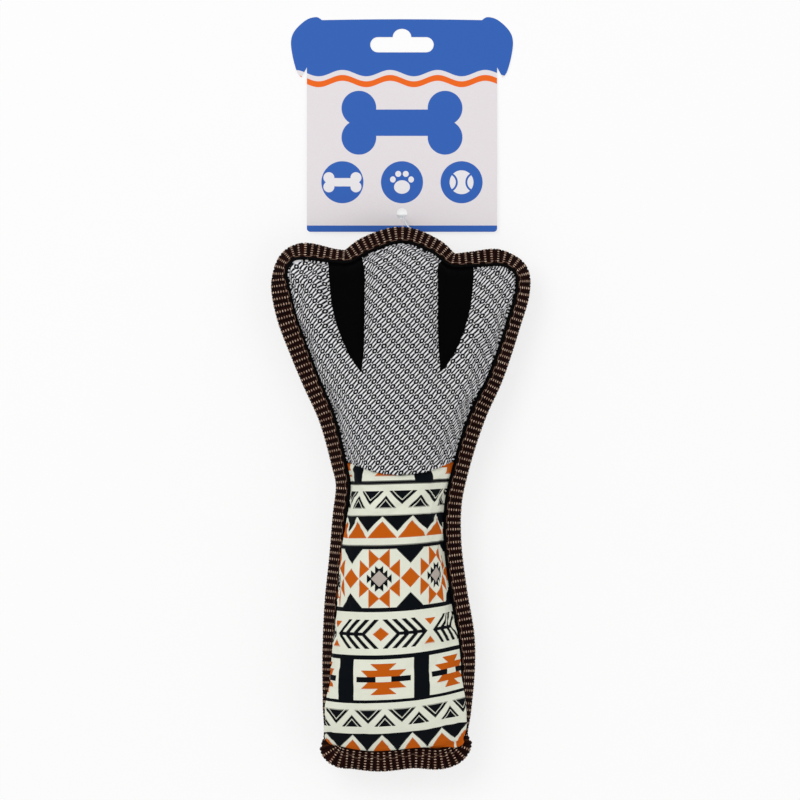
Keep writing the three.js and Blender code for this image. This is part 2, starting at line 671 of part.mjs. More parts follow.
// The card, drawn from its bottom edge up, with its euro slot and the pin's hole
function card() {
  const half = cardBodyWidth / 2;
  const radius = cardCornerRadius;
  const earPoint = ([out, high]) => new THREE.Vector2(half + out * earOverhang, high * cardHeight);
  const right = earShares.map(earPoint);
  const left = right.map((p) => new THREE.Vector2(-p.x, p.y)).reverse();
  const shoulder = cardHeight * cardShoulderShare;
  const shape = new THREE.Shape();
  shape.absarc(half - radius, radius, radius, -rightAngle, 0, false);
  shape.lineTo(half, shoulder);
  shape.lineTo(right[0].x, right[0].y);
  shape.splineThru(right.slice(1));
  shape.quadraticCurveTo(0, cardHeight * cardTopShare, left[0].x, left[0].y);
  shape.splineThru(left.slice(1));
  shape.lineTo(-half, shoulder);
  shape.absarc(-half + radius, radius, radius, 2 * rightAngle, 3 * rightAngle, false);
  const slot = new THREE.Path();
  const slotRadius = slotHeight / 2;
  const slotMiddle = slotBottomHeight + slotRadius;
  const slotEnd = slotWidth / 2 - slotRadius;
  const hump = slotHumpWidth / 2;
  const humpTop = slotBottomHeight + slotTotalHeight;
  slot.absarc(slotEnd, slotMiddle, slotRadius, -rightAngle, rightAngle, false);
  slot.lineTo(hump, slotMiddle + slotRadius);
  slot.absellipse(0, slotMiddle + slotRadius, hump, humpTop - slotMiddle - slotRadius, 0, Math.PI, false);
  slot.lineTo(-slotEnd, slotMiddle + slotRadius);
  slot.absarc(-slotEnd, slotMiddle, slotRadius, rightAngle, 3 * rightAngle, false);
  const hole = new THREE.Path();
  hole.absarc(0, pinHoleHeight, pinHoleRadius, 0, 4 * rightAngle, false);
  shape.holes.push(slot, hole);
  return new THREE.ExtrudeGeometry(shape, {
    depth: cardThickness, bevelEnabled: false, curveSegments: roundSides / 2,
  });
}

function namedMesh(name, geometry, material) {
  const mesh = new THREE.Mesh(geometry, material);
  mesh.name = name;
  return mesh;
}

const group = new THREE.Group();

for (const [face, side] of [['front', 1], ['back', -1]]) {
  const { mesh, patches } = footPieces(side);
  group.add(namedMesh(`${face}_foot_mesh`, mesh, meshFabric));
  group.add(namedMesh(`${face}_toe_gap_left`, patches[0], blackFabric));
  group.add(namedMesh(`${face}_toe_gap_right`, patches[1], blackFabric));
  group.add(namedMesh(`${face}_leg_print`, coverPanel(legRegion, legSteps, side), printedFabric));
  group.add(namedMesh(`${face}_lining`, lining(side), liningFabric));
}

group.add(namedMesh('foot_filling', filling(footRegion, footSteps), fibreFilling));
group.add(namedMesh('leg_filling', filling(legRegion, legSteps), fibreFilling));
group.add(namedMesh('squeaker_bulb', bulb(), bulbPlastic));
group.add(namedMesh('squeaker_plug', plug(), reedPlastic));
group.add(namedMesh('squeaker_reed', reed(), reedPlastic));

const sideStart = bottomLeft + cornerFan;
const sideEnd = bottomRight - cornerFan;
const startGap = stationsFor(bindingEndGap, sideStart);
const endGap = stationsFor(bindingEndGap, sideEnd);
const edgeTape = binding(sideStart, sideEnd, edgeRingsPerStation, bindingWidth);
group.add(namedMesh('edge_binding', cut(edgeTape, pinHoleInFold()), webbing));
group.add(namedMesh('bottom_binding',
  binding(sideEnd + endGap, seamCount + sideStart - startGap, bottomRingsPerStation, bottomBindingWidth),
  webbing));

group.add(namedMesh('tag_pin_cross_bar', pinCrossBar(), nylon));
group.add(namedMesh('tag_pin_filament', pinFilament(), nylon));
const tag = namedMesh('tag_card', card(), tagCard);
tag.position.copy(cardBase);
tag.rotation.x = -cardLean;
group.add(tag);

export default group;
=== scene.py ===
# %% [markdown]
# # A stuffed paw toy with its card hang tag
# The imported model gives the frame: where each piece of the toy is, and which body it moves with.
# Everything below is built round it, in metres, with Z up through the toy's front and Y towards the
# toes and the tag.

# %% Load the frame
import math

import bmesh
import bpy
import numpy as np
from mathutils import Matrix, Vector


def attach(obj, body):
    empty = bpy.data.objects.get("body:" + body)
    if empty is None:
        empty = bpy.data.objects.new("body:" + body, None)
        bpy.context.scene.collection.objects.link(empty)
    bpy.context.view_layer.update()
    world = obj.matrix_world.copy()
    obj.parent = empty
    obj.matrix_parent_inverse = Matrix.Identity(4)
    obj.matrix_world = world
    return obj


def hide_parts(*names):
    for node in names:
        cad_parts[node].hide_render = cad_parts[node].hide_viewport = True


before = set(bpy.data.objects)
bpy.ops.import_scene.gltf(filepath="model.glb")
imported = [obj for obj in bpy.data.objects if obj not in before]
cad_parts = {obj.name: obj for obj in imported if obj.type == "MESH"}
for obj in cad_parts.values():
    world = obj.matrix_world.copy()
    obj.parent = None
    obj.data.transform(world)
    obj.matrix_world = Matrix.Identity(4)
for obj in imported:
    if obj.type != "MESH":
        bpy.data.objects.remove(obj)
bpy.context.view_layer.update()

# %% [markdown]
# ## The camera
# The toy is photographed from straight above, so a long lens keeps the far card and the near toy at
# one scale. The picture takes in 0.4 m at the height of the seam.

# %% Camera
MM = 0.001
SEAM_HEIGHT = 23.5  # millimetres
VIEW_WIDTH = 0.4
CAMERA_DISTANCE = 3.0
PICTURE_MIDDLE = (0.0, 0.04975)
SENSOR_WIDTH = 36
NEAREST, FARTHEST = 0.1, 20
scene = bpy.context.scene


def new_object(name, data):
    """An object at the origin, linked to the scene."""
    thing = bpy.data.objects.new(name, data)
    scene.collection.objects.link(thing)
    return thing


camera_data = bpy.data.cameras.new("camera")
camera_data.sensor_width = SENSOR_WIDTH
camera_data.lens = SENSOR_WIDTH * CAMERA_DISTANCE / VIEW_WIDTH
camera_data.clip_start, camera_data.clip_end = NEAREST, FARTHEST
camera = new_object("camera", camera_data)
camera.location = (*PICTURE_MIDDLE, SEAM_HEIGHT * MM + CAMERA_DISTANCE)
scene.camera = camera
scene.view_settings.view_transform = "Standard"
scene.cycles.denoising_prefilter = "NONE"  # else the fine weave is smoothed away with the noise
print("lens", round(camera_data.lens), "mm at", CAMERA_DISTANCE, "m")

# %% [markdown]
# ## The seam line
# Two halves of the toy are sewn together along one closed line, and a tape is folded over it.
# Everything on the toy is placed from that line, so it is worked out first: its path, how far the
# fin of tape leans back at each place, and how far the front bulges out over it. The cloth is a
# little fuller there than the CAD solid, because in the photograph it hides more of the tape. Sizes
# here are millimetres.

# %% The seam's table and its smooth curve
TOY_LENGTH = 271.5
TOY_WIDTH = 129.0
TOY_THICKNESS = 48.0
HALF_THICKNESS = TOY_THICKNESS / 2
COVER_TOP = 1.25
FLANK_RUN = 27.8
MOST_LEAN = math.atan2(HALF_THICKNESS, FLANK_RUN)
# Each station has x as a share of the width, y as a share of the length, its lean as a share of the
# most lean, and the front's bulge as a share of the thickness.
SEAM_SHARES = np.array([
    [-0.225, -0.4515, 0.05, 0.34], [-0.2315, -0.440, 0.95, 0.33], [-0.232, -0.377, 0.938, 0.29],
    [-0.234, -0.284, 0.97, 0.20], [-0.226, -0.192, 0.98, 0.14], [-0.208, -0.107, 0.98, 0.14],
    [-0.195, -0.033, 0.98, 0.075], [-0.182, 0.029, 0.97, 0.045], [-0.198, 0.070, 0.87, 0.01],
    [-0.244, 0.157, 0.617, 0], [-0.305, 0.225, 0.397, 0], [-0.357, 0.287, 0.132, 0],
    [-0.398, 0.339, 0, 0], [-0.420, 0.387, 0.2, 0], [-0.4255, 0.420, 1.03, 0],
    [-0.408, 0.4345, 1.0, 0], [-0.376, 0.438, 0.666, 0], [-0.251, 0.4305, 1.03, 0],
    [-0.193, 0.430, 1.0, 0], [-0.112, 0.451, 0.6, 0], [0.008, 0.468, 0.728, 0],
    [0.118, 0.450, 0.87, 0], [0.191, 0.424, 1.03, 0], [0.276, 0.4235, 0.84, 0],
    [0.371, 0.4265, 0.62, 0], [0.3995, 0.4245, 0.9, 0.02], [0.434, 0.413, 0.948, 0.035],
    [0.436, 0.383, 0.948, 0.02], [0.403, 0.3295, 0.926, 0], [0.3705, 0.280, 0.926, 0],
    [0.3295, 0.228, 0.816, 0], [0.270, 0.171, 0.617, 0], [0.2295, 0.118, 0.617, 0],
    [0.2005, 0.070, 0.683, 0], [0.167, 0, 0.65, 0], [0.1615, -0.074, 0.55, 0],
    [0.184, -0.166, 0.6, 0], [0.2145, -0.254, 0.617, 0], [0.222, -0.317, 0.926, 0.06],
    [0.209, -0.388, 0.957, 0.23], [0.197, -0.434, 0.95, 0.30], [0.193, -0.4475, 0.3, 0.34],
    [0.154, -0.4555, 0.12, 0], [0.054, -0.4535, 0.132, 0], [-0.078, -0.4597, 0.132, 0],
    [-0.181, -0.4555, 0.28, 0],
])
SEAM_COUNT = len(SEAM_SHARES)
BOTTOM_LEFT, ANKLE_LEFT, TOP_LEFT, TOP_RIGHT, ANKLE_RIGHT, BOTTOM_RIGHT = 0, 8, 15, 25, 33, 41


def closed_curve(points):
    """A smooth closed line through points, and its slope, read at stations numbered as they are."""
    start = np.asarray(points, float)
    before, end, after = np.roll(start, 1, 0), np.roll(start, -1, 0), np.roll(start, -2, 0)

    def gap(a, b):
        return np.sqrt(np.linalg.norm(a - b, axis=1))[:, None]

    d0, d1, d2 = gap(before, start), gap(start, end), gap(end, after)
    leaving = ((start - before) / d0 - (end - before) / (d0 + d1) + (end - start) / d1) * d1
    arriving = ((end - start) / d1 - (after - start) / (d1 + d2) + (after - end) / d2) * d1
    second = 3 * (end - start) - 2 * leaving - arriving
    third = 2 * (start - end) + leaving + arriving

    def read(station):
        station = np.asarray(station, float)
        k = np.floor(station).astype(int) % len(start)
        t = (station - np.floor(station))[..., None]
        place = start[k] + t * (leaving[k] + t * (second[k] + t * third[k]))
        return place, leaving[k] + t * (2 * second[k] + 3 * t * third[k])

    return read


seam_places = SEAM_SHARES[:, :2] * (TOY_WIDTH, TOY_LENGTH)
seam_line = closed_curve(np.column_stack([seam_places, SEAM_SHARES[:, 2] * MOST_LEAN]))
bulge_line = closed_curve(np.column_stack([seam_places, SEAM_SHARES[:, 3] * TOY_THICKNESS]))
UP = np.array([0.0, 0.0, 1.0])
SIDEWAYS = np.array([1.0, 0.0, 0.0])


def seam_at(station):
    """The seam at stations: its place, its ways ahead and outwards, its lean, the front's bulge."""
    place, slope = seam_line(station)
    ahead = slope[..., :2] / np.linalg.norm(slope[..., :2], axis=-1, keepdims=True)
    flat = np.zeros(place.shape[:-1] + (1,))
    return {
        "point": np.concatenate([place[..., :2], flat + SEAM_HEIGHT], -1),
        "ahead": np.concatenate([ahead, flat], -1),
        "outward": np.stack([-ahead[..., 1], ahead[..., 0], flat[..., 0]], -1),
        "lean": np.maximum(place[..., 2], 0),
        "bulge": np.maximum(bulge_line(station)[0][..., 2], 0),
    }


def fin_ways(seam):
    """Which way is out along the leaning fin, and which way is square to it on the front."""
    lean = seam["lean"][..., None]
    out = seam["outward"] * np.cos(lean) - UP * np.sin(lean)
    return out, seam["outward"] * np.sin(lean) + UP * np.cos(lean)


def lengths_along(line):
    """How far each point of a line is from its start, as measured along the line."""
    steps = np.linalg.norm(np.diff(line, axis=0), axis=1)
    return np.concatenate([[0], np.cumsum(steps)])


around = seam_at(np.linspace(0, SEAM_COUNT, 2000))["point"]
print("seam line", round(lengths_along(around)[-1]), "mm round")

# %% [markdown]
# ## The swelling covers
# Each half is a leg panel and a foot panel that meet at the ankle seam. A panel's middle surface
# blends its four sewn edges, and the filling swells it into half an ellipse from the left seam to
# the right one, closing to nothing at the heel and at the toes. Written as a rule, the surface can
# be sampled as finely as each piece needs, so covers, lining and filling all come from one shape
# and never cross.

# %% The two regions
RUN_SAMPLES = 161
ANKLE_SAG = 6.2
LEG, FOOT = "leg", "foot"
TAPER = {LEG: 46.0, FOOT: 52.0}
PUSH_POWER = 0.33
FLOOR_EASE = 0.5
HALVES = (("front", 1), ("back", -1))


def run_of(first, last):
    """A way from a share of the run between two stations to the station, and the run's length."""
    stations = np.linspace(first, last, RUN_SAMPLES)
    lengths = lengths_along(seam_at(stations)["point"])
    return (lambda share: np.interp(share, lengths / lengths[-1], stations)), lengths[-1]


def ankle_point(across):
    """The seam between leg and foot, which sags towards the heel, at shares of the way across."""
    left, right = seam_at(ANKLE_LEFT)["point"], seam_at(ANKLE_RIGHT)["point"]
    across = np.asarray(across, float)[..., None]
    sag = ANKLE_SAG * (1 - (2 * across - 1) ** 2)
    return left + (right - left) * across - sag * np.array([0, 1, 0])


RUNS = {
    (LEG, "left"): run_of(BOTTOM_LEFT, ANKLE_LEFT),
    (LEG, "right"): run_of(BOTTOM_RIGHT, ANKLE_RIGHT),
    (LEG, "end"): run_of(SEAM_COUNT + BOTTOM_LEFT, BOTTOM_RIGHT),
    (FOOT, "left"): run_of(ANKLE_LEFT, TOP_LEFT),
    (FOOT, "right"): run_of(ANKLE_RIGHT, TOP_RIGHT),
    (FOOT, "end"): run_of(TOP_LEFT, TOP_RIGHT),
}
REGION_LENGTH = {region: RUNS[region, "left"][1] for region in (LEG, FOOT)}


def edge_point(region, edge, share):
    """A place on a region's sewn edge, at a share of the way along it."""
    return seam_at(RUNS[region, edge][0](share))["point"]


def inside(region, across, along):
    """The blend of a region's four edges."""
    a, t = across[..., None], along[..., None]
    sewn = edge_point(region, "end", across)
    low, high = (sewn, ankle_point(across)) if region == LEG else (ankle_point(across), sewn)
    blend = low * (1 - t) + high * t
    for edge, weight in (("left", 1 - a), ("right", a)):
        start, end = edge_point(region, edge, 0.0), edge_point(region, edge, 1.0)
        blend = blend + weight * (edge_point(region, edge, along) - start * (1 - t) - end * t)
    return blend


def fullness(region, along):
    """How much of its full height a region has: it closes in a quarter of an ellipse at its end."""
    from_end = (along if region == LEG else 1 - along) * REGION_LENGTH[region]
    short = 1 - np.minimum(from_end / TAPER[region], 1)
    return np.sqrt(np.maximum(1 - short * short, 0))


def swelling(region, side, angle, along):
    """Points on the front (side 1) or back (-1). The angle is 0 at the left seam, pi at right."""
    angle, along = np.broadcast_arrays(np.asarray(angle, float), np.asarray(along, float))
    point = inside(region, (1 - np.cos(angle)) / 2, along)
    full = fullness(region, along)
    rise = COVER_TOP + (HALF_THICKNESS - COVER_TOP) * np.sin(angle) * full
    if side > 0:
        for edge, here in (("left", angle < math.pi / 2), ("right", angle >= math.pi / 2)):
            seam = seam_at(RUNS[region, edge][0](along))
            push = seam["bulge"] * np.abs(np.sin(2 * angle)) * full ** PUSH_POWER * here
            point = point + seam["outward"] * SIDEWAYS * push[..., None]
    point = point + UP * (side * rise)[..., None]
    if side < 0:
        height = point[..., 2]
        point[..., 2] = (height + np.sqrt(height * height + FLOOR_EASE)) / 2
    return point


middle = swelling(LEG, 1, math.pi / 2, 0.5)
print("front of the leg's middle at", middle.round(1), "mm")

# %% [markdown]
# ## The valleys between the toes
# Two narrow gaps split the foot into three toes. Each has a straight inner edge and a curved outer
# one, and ends in a point. The covers sink into a valley along each gap, deepest at the toes' ends,
# so both the gap's outline and its depth are written as rules that any point on the foot can be put
# through.

# %% Gaps between the toes
GAP_CENTRE = 0.6
GAP_INNER = 19.3
GAP_WIDTH = 16.9
GAP_LENGTH = 55.0
GAP_TIP = TOY_LENGTH * SEAM_SHARES[TOP_LEFT, 1] - GAP_LENGTH
GAP_DEPTH = 3.4
GAP_CURVE = 2.92
VALLEY_LEAD = 6.0
VALLEY_GROWTH = 30.0
VALLEY_SLOPE = 7.5


def gap_outer(y):
    """How far the curved outer edge of a gap is from the toy's middle, at a place along the toy."""
    rise = np.clip((y - GAP_TIP) / GAP_LENGTH, 0, 1)
    return GAP_INNER + GAP_WIDTH * (1 - (1 - rise) ** GAP_CURVE)


def smooth_step(value):
    """Rises from 0 to 1 as the value does, level at both ends."""
    value = np.clip(value, 0, 1)
    return value * value * (3 - 2 * value)


def gap_valley(point):
    """How far the surface sinks between the toes, in millimetres."""
    x, y = np.abs(point[..., 0] - GAP_CENTRE), point[..., 1]
    outside = np.maximum(np.maximum(GAP_INNER - x, x - gap_outer(y)), 0)
    outside = np.hypot(outside, np.maximum(GAP_TIP - y, 0))
    growing = smooth_step((y - GAP_TIP + VALLEY_LEAD) / VALLEY_GROWTH)
    return GAP_DEPTH * growing * smooth_step(1 - outside / VALLEY_SLOPE)


print("gaps reach down to", round(GAP_TIP, 1), "mm and sink", GAP_DEPTH, "mm")

# %% [markdown]
# ## Grids of points
# Every panel starts as a grid: rows go up the toy, columns go from the left seam over the top to
# the right one. Its rows are spaced evenly over the swelling, not in the flat, so that the faces at
# the steep heel and toes are no longer than the others.

# %% Grids
ROW_SAMPLES = 600


def even_rows(region, side, count):
    """Shares of the way along a region, evenly spaced on its middle line."""
    shares = np.linspace(0, 1, ROW_SAMPLES)
    lengths = lengths_along(swelling(region, side, math.pi / 2, shares))
    return np.interp(np.linspace(0, lengths[-1], count + 1), lengths, shares)


def grid_faces(rows, columns):
    """The corners of each square of a grid, as a grid of their own."""
    index = np.arange(rows * columns).reshape(rows, columns)
    corners = (index[:-1, :-1], index[:-1, 1:], index[1:, 1:], index[1:, :-1])
    return np.stack(corners, -1)


def grid_normals(points):
    """Unit normals of a grid of points whose rows go up the toy, towards the front."""
    normal = np.cross(np.gradient(points, axis=1), np.gradient(points, axis=0))
    return normal / np.maximum(np.linalg.norm(normal, axis=-1, keepdims=True), 1e-9)


def blurred(grid, reach):
    """A grid averaged over a square of neighbours, edges repeated."""
    for axis in (0, 1):
        padded = np.concatenate([np.repeat(grid.take([0], axis), reach, axis), grid,
                                 np.repeat(grid.take([-1], axis), reach, axis)], axis)
        sums = np.cumsum(padded, axis)
        sums = np.concatenate([np.zeros_like(sums.take([0], axis)), sums], axis)
        size, window = grid.shape[axis], 2 * reach + 1
        above = sums.take(range(window, window + size), axis)
        grid = (above - sums.take(range(size), axis)) / window
    return grid


print("first rows of the leg at", even_rows(LEG, 1, 64)[:3].round(3), "of its length")

# %% [markdown]
# ## Puckers from a cloth simulation
# Real covers are cut a little larger than the space between their seams, and the filling presses
# them out, so they pucker where they are sewn down. A coarse sheet of each half is pinned at its
# seam and in the gaps between the toes, given three percent of slack, and blown up from inside.
# Only the folds of the result are kept, as a height to add to the finer panels; the broad swell
# already comes from the rule above.

# %% Simulated folds
SIM_FRAMES = 22
SIM_SLACK = 0.03
SIM_ROWS = {LEG: 64, FOOT: 48}
SIM_COLUMNS = 41
PINNED_DEPTH = GAP_DEPTH * 0.6
FOLD_BLUR = 6
FOLD_CAP = 1.5
CLOTH_SETTINGS = {
    "quality": 5, "mass": 0.02, "use_pressure": True, "uniform_pressure_force": 4,
    "tension_stiffness": 5, "compression_stiffness": 5, "shear_stiffness": 2,
    "bending_stiffness": 0.05, "shrink_min": -SIM_SLACK, "shrink_max": -SIM_SLACK,
}
sim_angles = np.linspace(0, math.pi, SIM_COLUMNS)


def simulated_folds(side):
    """The folds on one half, for each region: its rows' shares and a grid of heights."""
    rows = {region: even_rows(region, side, count) for region, count in SIM_ROWS.items()}
    leg, foot = (swelling(region, side, *np.meshgrid(sim_angles, rows[region]))
                 for region in (LEG, FOOT))
    start = np.concatenate([leg, foot[1:]])
    count = start.shape[0]
    mesh = bpy.data.meshes.new("fold_sheet")
    faces = grid_faces(count, SIM_COLUMNS).reshape(-1, 4)
    mesh.from_pydata((start * MM).reshape(-1, 3).tolist(), [], faces[:, ::side].tolist())
    sheet = new_object("fold_sheet", mesh)
    pinned = gap_valley(start) > PINNED_DEPTH
    pinned[[0, -1]] = True
    pinned[:, [0, -1]] = True
    sewn = sheet.vertex_groups.new(name="sewn")
    sewn.add(np.nonzero(pinned.ravel())[0].tolist(), 1.0, "REPLACE")
    cloth = sheet.modifiers.new("cloth", "CLOTH")
    cloth.settings.vertex_group_mass = sewn.name
    cloth.settings.effector_weights.gravity = 0
    for name, value in CLOTH_SETTINGS.items():
        setattr(cloth.settings, name, value)
    cloth.point_cache.frame_end = SIM_FRAMES
    for frame_number in range(1, SIM_FRAMES + 1):
        scene.frame_set(frame_number)
    evaluated = sheet.evaluated_get(bpy.context.evaluated_depsgraph_get())
    moved = np.empty(start.size)
    evaluated.data.vertices.foreach_get("co", moved)
    scene.frame_set(1)
    bpy.data.objects.remove(sheet)
    moved = (moved.reshape(start.shape) / MM - start) * grid_normals(start)
    height = moved.sum(-1) * side
    folds = np.clip(height - blurred(height, FOLD_BLUR), -FOLD_CAP, FOLD_CAP)
    print("folds on side", side, "from", folds.min().round(2), "to", folds.max().round(2), "mm")
    cut = len(rows[LEG])
    return {LEG: (rows[LEG], folds[:cut]), FOOT: (rows[FOOT], folds[cut - 1:])}


FOLDS = {side: simulated_folds(side) for side in (1, -1)}


def fold_height(region, side, angle, along):
    """The simulated folds read at any angle and share of the way along."""
    rows, grid = FOLDS[side][region]
    i = np.interp(along, rows, np.arange(len(rows)))
    j = np.interp(angle, sim_angles, np.arange(SIM_COLUMNS))
    i0, j0 = np.minimum(i.astype(int), len(rows) - 2), np.minimum(j.astype(int), SIM_COLUMNS - 2)
    a, b = smooth_step(i - i0), smooth_step(j - j0)
    near = grid[i0, j0] * (1 - b) + grid[i0, j0 + 1] * b
    far = grid[i0 + 1, j0] * (1 - b) + grid[i0 + 1, j0 + 1] * b
    return near * (1 - a) + far * a


# %% [markdown]
# ## The finished surface
# Three heights are added to the swelling, square to it: the folds, a small tuck where leg and foot
# are sewn together, and the valleys between the toes, which end before the seam. Nothing goes below
# the floor.

# %% The finished surface
SEAM_TUCK = {LEG: 1.5, FOOT: 0.5}
TUCK_REACH = 3.5
SEAM_FADE = 9.0
FLOOR_GAP = 0.05
FLOOR_FADE = 3.0


def short_of_toes(along):
    """Fades to 0 over the last millimetres of the foot, before the seam at the toes."""
    return smooth_step((1 - along) * REGION_LENGTH[FOOT] / SEAM_FADE)


def cover_surface(region, side, angle, along):
    """A grid of points on the finished cover, with its normals."""
    angle, along = np.broadcast_arrays(np.asarray(angle, float), np.asarray(along, float))
    base = swelling(region, side, angle, along)
    normal = grid_normals(base) * side
    to_ankle = (1 - along if region == LEG else along) * REGION_LENGTH[region]
    tuck = SEAM_TUCK[region] * smooth_step(1 - to_ankle / TUCK_REACH)
    height = fold_height(region, side, angle, along) - tuck
    if region == FOOT:
        height = height - gap_valley(base) * short_of_toes(along)
    if side < 0:
        height = np.where(height > 0, height * smooth_step(base[..., 2] / FLOOR_FADE), height)
    point = base + normal * height[..., None]
    point[..., 2] = np.maximum(point[..., 2], FLOOR_GAP)
    return point, normal


top = cover_surface(FOOT, 1, *np.meshgrid(sim_angles, even_rows(FOOT, 1, 48)))[0][..., 2].max()
print("the foot's cover rises to", round(top, 1), "mm")

# %% [markdown]
# ## Meshes from grids
# Covers are grids of points. Each becomes a mesh with its place in its vertices, and carries a
# pattern attribute: how far along the cloth a point lies, in millimetres, so that weave and print
# follow the cloth over its curves as on the real toy.

# %% Mesh helpers
EVEN_COLUMNS = 241


def new_piece(name, points, faces, pattern=None):
    """An object from points in millimetres and faces, smooth, with its pattern coordinates."""
    used, inverse = np.unique(faces, return_inverse=True)
    mesh = bpy.data.meshes.new(name)
    mesh.from_pydata((points[used] * MM).tolist(), [], inverse.reshape(faces.shape).tolist())
    mesh.polygons.foreach_set("use_smooth", np.ones(len(mesh.polygons), bool))
    if pattern is not None:
        layer = mesh.attributes.new("pattern", "FLOAT_VECTOR", "POINT")
        layer.data.foreach_set("vector", pattern[used].astype(np.float32).ravel())
    return new_object(name, mesh)


def finished(piece, *modifiers):
    """The piece with its modifiers made real."""
    for kind, settings in modifiers:
        modifier = piece.modifiers.new(kind.lower(), kind)
        for name, value in settings.items():
            setattr(modifier, name, value)
    evaluated = piece.evaluated_get(bpy.context.evaluated_depsgraph_get())
    mesh = bpy.data.meshes.new_from_object(evaluated)
    piece.modifiers.clear()
    piece.data = mesh
    mesh.name = piece.name
    return piece


def thick(millimetres):
    """The Solidify modifier that gives a sheet of points its cloth's thickness, inwards."""
    return "SOLIDIFY", {"thickness": millimetres * MM, "offset": -1, "use_even_offset": False}


def along_cloth(points):
    """Pattern coordinates: the cloth's length across each row from x = 0, and up each column."""
    across = np.hypot(np.diff(points[..., 0], axis=1), np.diff(points[..., 2], axis=1))
    u = np.concatenate([np.zeros((len(points), 1)), np.cumsum(across, axis=1)], 1)
    for i, row in enumerate(points[..., 0]):
        u[i] -= np.interp(0, row, u[i])
    up = np.diff(points[..., 1], axis=0)
    steps = np.sign(up) * np.hypot(up, np.diff(points[..., 2], axis=0))
    risen = np.concatenate([np.zeros((1, points.shape[1])), np.cumsum(steps, axis=0)])
    v = points[:1, :, 1] + risen
    return np.stack([u, v, np.zeros_like(u)], -1)


def cloth_places(region, side, angles, rows):
    """Pattern coordinates for a grid whose columns wander, read from one whose columns don't."""
    even = np.linspace(0, math.pi, EVEN_COLUMNS)
    places = along_cloth(swelling(region, side, *np.meshgrid(even, rows)))
    read = np.zeros((*angles.shape, 3))
    for axis in (0, 1):
        smooth = blurred(places[..., axis], 1)
        for i, row in enumerate(angles):
            read[i, :, axis] = np.interp(row, even, smooth[i])
    return read


row = along_cloth(swelling(LEG, 1, *np.meshgrid(sim_angles, [0.5, 0.6])))[0, :, 0]
print("cloth across the leg's middle:", round(np.ptp(row), 1), "mm")

# %% [markdown]
# ## The seam allowance
# Cloth is sewn a little inside its cut edge, and the strip beyond the stitches runs out under the
# tape. Here it is three rings of points round a panel, laid along the leaning fin, so a panel and
# its strip are one mesh and no gap shows between cloth and tape.

# %% The seam allowance
COVER = 1.0
ALLOWANCE = 6.2
FRONT_START = 0.8
BACK_START = 0.3
RING_SHARES = (0, 0.4, 1)


def perimeter(region, rows, columns):
    """A grid's points along the seam, as rows and columns, from the ankle round to the ankle."""
    up = np.arange(rows)
    far = rows - 1 if region == FOOT else 0
    if region == LEG:
        up = up[::-1]
    left = [(i, 0) for i in up]
    end = [(far, j) for j in range(1, columns)]
    right = [(i, columns - 1) for i in up[::-1][1:]]
    return np.array(left + end + right)


def with_allowance(region, side, angle, along, points, pattern):
    """Adds the strip of cloth that runs out under the tape.

    Gives all points with their pattern coordinates, the strip's faces, and the column beside each.
    """
    rows, columns = angle.shape
    edge = perimeter(region, rows, columns)
    i, j = edge.T
    across = (1 - np.cos(angle[i, j])) / 2
    on_left, on_right = (j == 0), (j == columns - 1)
    station = np.where(
        on_left, RUNS[region, "left"][0](along[i, j]),
        np.where(on_right, RUNS[region, "right"][0](along[i, j]), RUNS[region, "end"][0](across)))
    seam = seam_at(station)
    out, above = fin_ways(seam)
    lean = seam["lean"]
    first = np.full(len(lean), FRONT_START)
    if side < 0:
        first = (BACK_START + COVER_TOP * np.sin(lean)) / np.cos(lean)
    rings = []
    for share in RING_SHARES:
        reach = first + (ALLOWANCE - first) * share
        rings.append(seam["point"] + out * reach[:, None] + above * COVER_TOP * side)
    flat = points.reshape(-1, 3)
    count = len(flat)
    index = [i * columns + j]
    index += [count + k * len(edge) + np.arange(len(edge)) for k in range(len(rings))]
    faces = []
    for inner, outer in zip(index, index[1:]):
        strip = np.stack([inner[:-1], inner[1:], outer[1:], outer[:-1]], -1)
        faces.append(strip if (region == FOOT) == (side > 0) else strip[:, ::-1])
    beside = np.tile(np.where(j[:-1] != j[1:], np.minimum(j[:-1], j[1:]), -1), len(rings))
    place = pattern.reshape(-1, 3)
    place = np.concatenate([place, np.tile(place[index[0]], (len(rings), 1))])
    return np.concatenate([flat, *rings]), place, np.concatenate(faces), beside


print("seam allowance:", ALLOWANCE, "mm of cloth,", COVER, "mm thick")

# %% [markdown]
# ## Foot panels and toe gaps
# The foot is a patterned mesh cloth with two black patches let in between the toes. One grid makes
# all three: its columns run along the patches' edges, so the cut is clean however fine the grid is.
# Below the tips of the patches the columns draw together and spread out again.

# %% Foot panels
FOOT_ROWS = 150
FOOT_COLUMNS = (40, 22, 36, 22, 40)
ANGLE_SAMPLES = 721
TIP_SPREAD, SPREAD_GROWTH, MOST_SPREAD = 0.12, 0.16, 5.0
TIP_WIDTH = 0.25
HEM = 0.3
HEM_DROP = np.array([[1.0], [0.5]])
HEM_LIFT = np.array([[0.35], [0.45], [0.3]])
GAP_SUNK = 0.5
ROLL_WIDTH = 1.9
ROLL_HEIGHT = 0.75
RAGGED_WAVES = ((0.12, 2.1, 0), (0.08, 3.7, 1), (0.15, 0.9, 2))


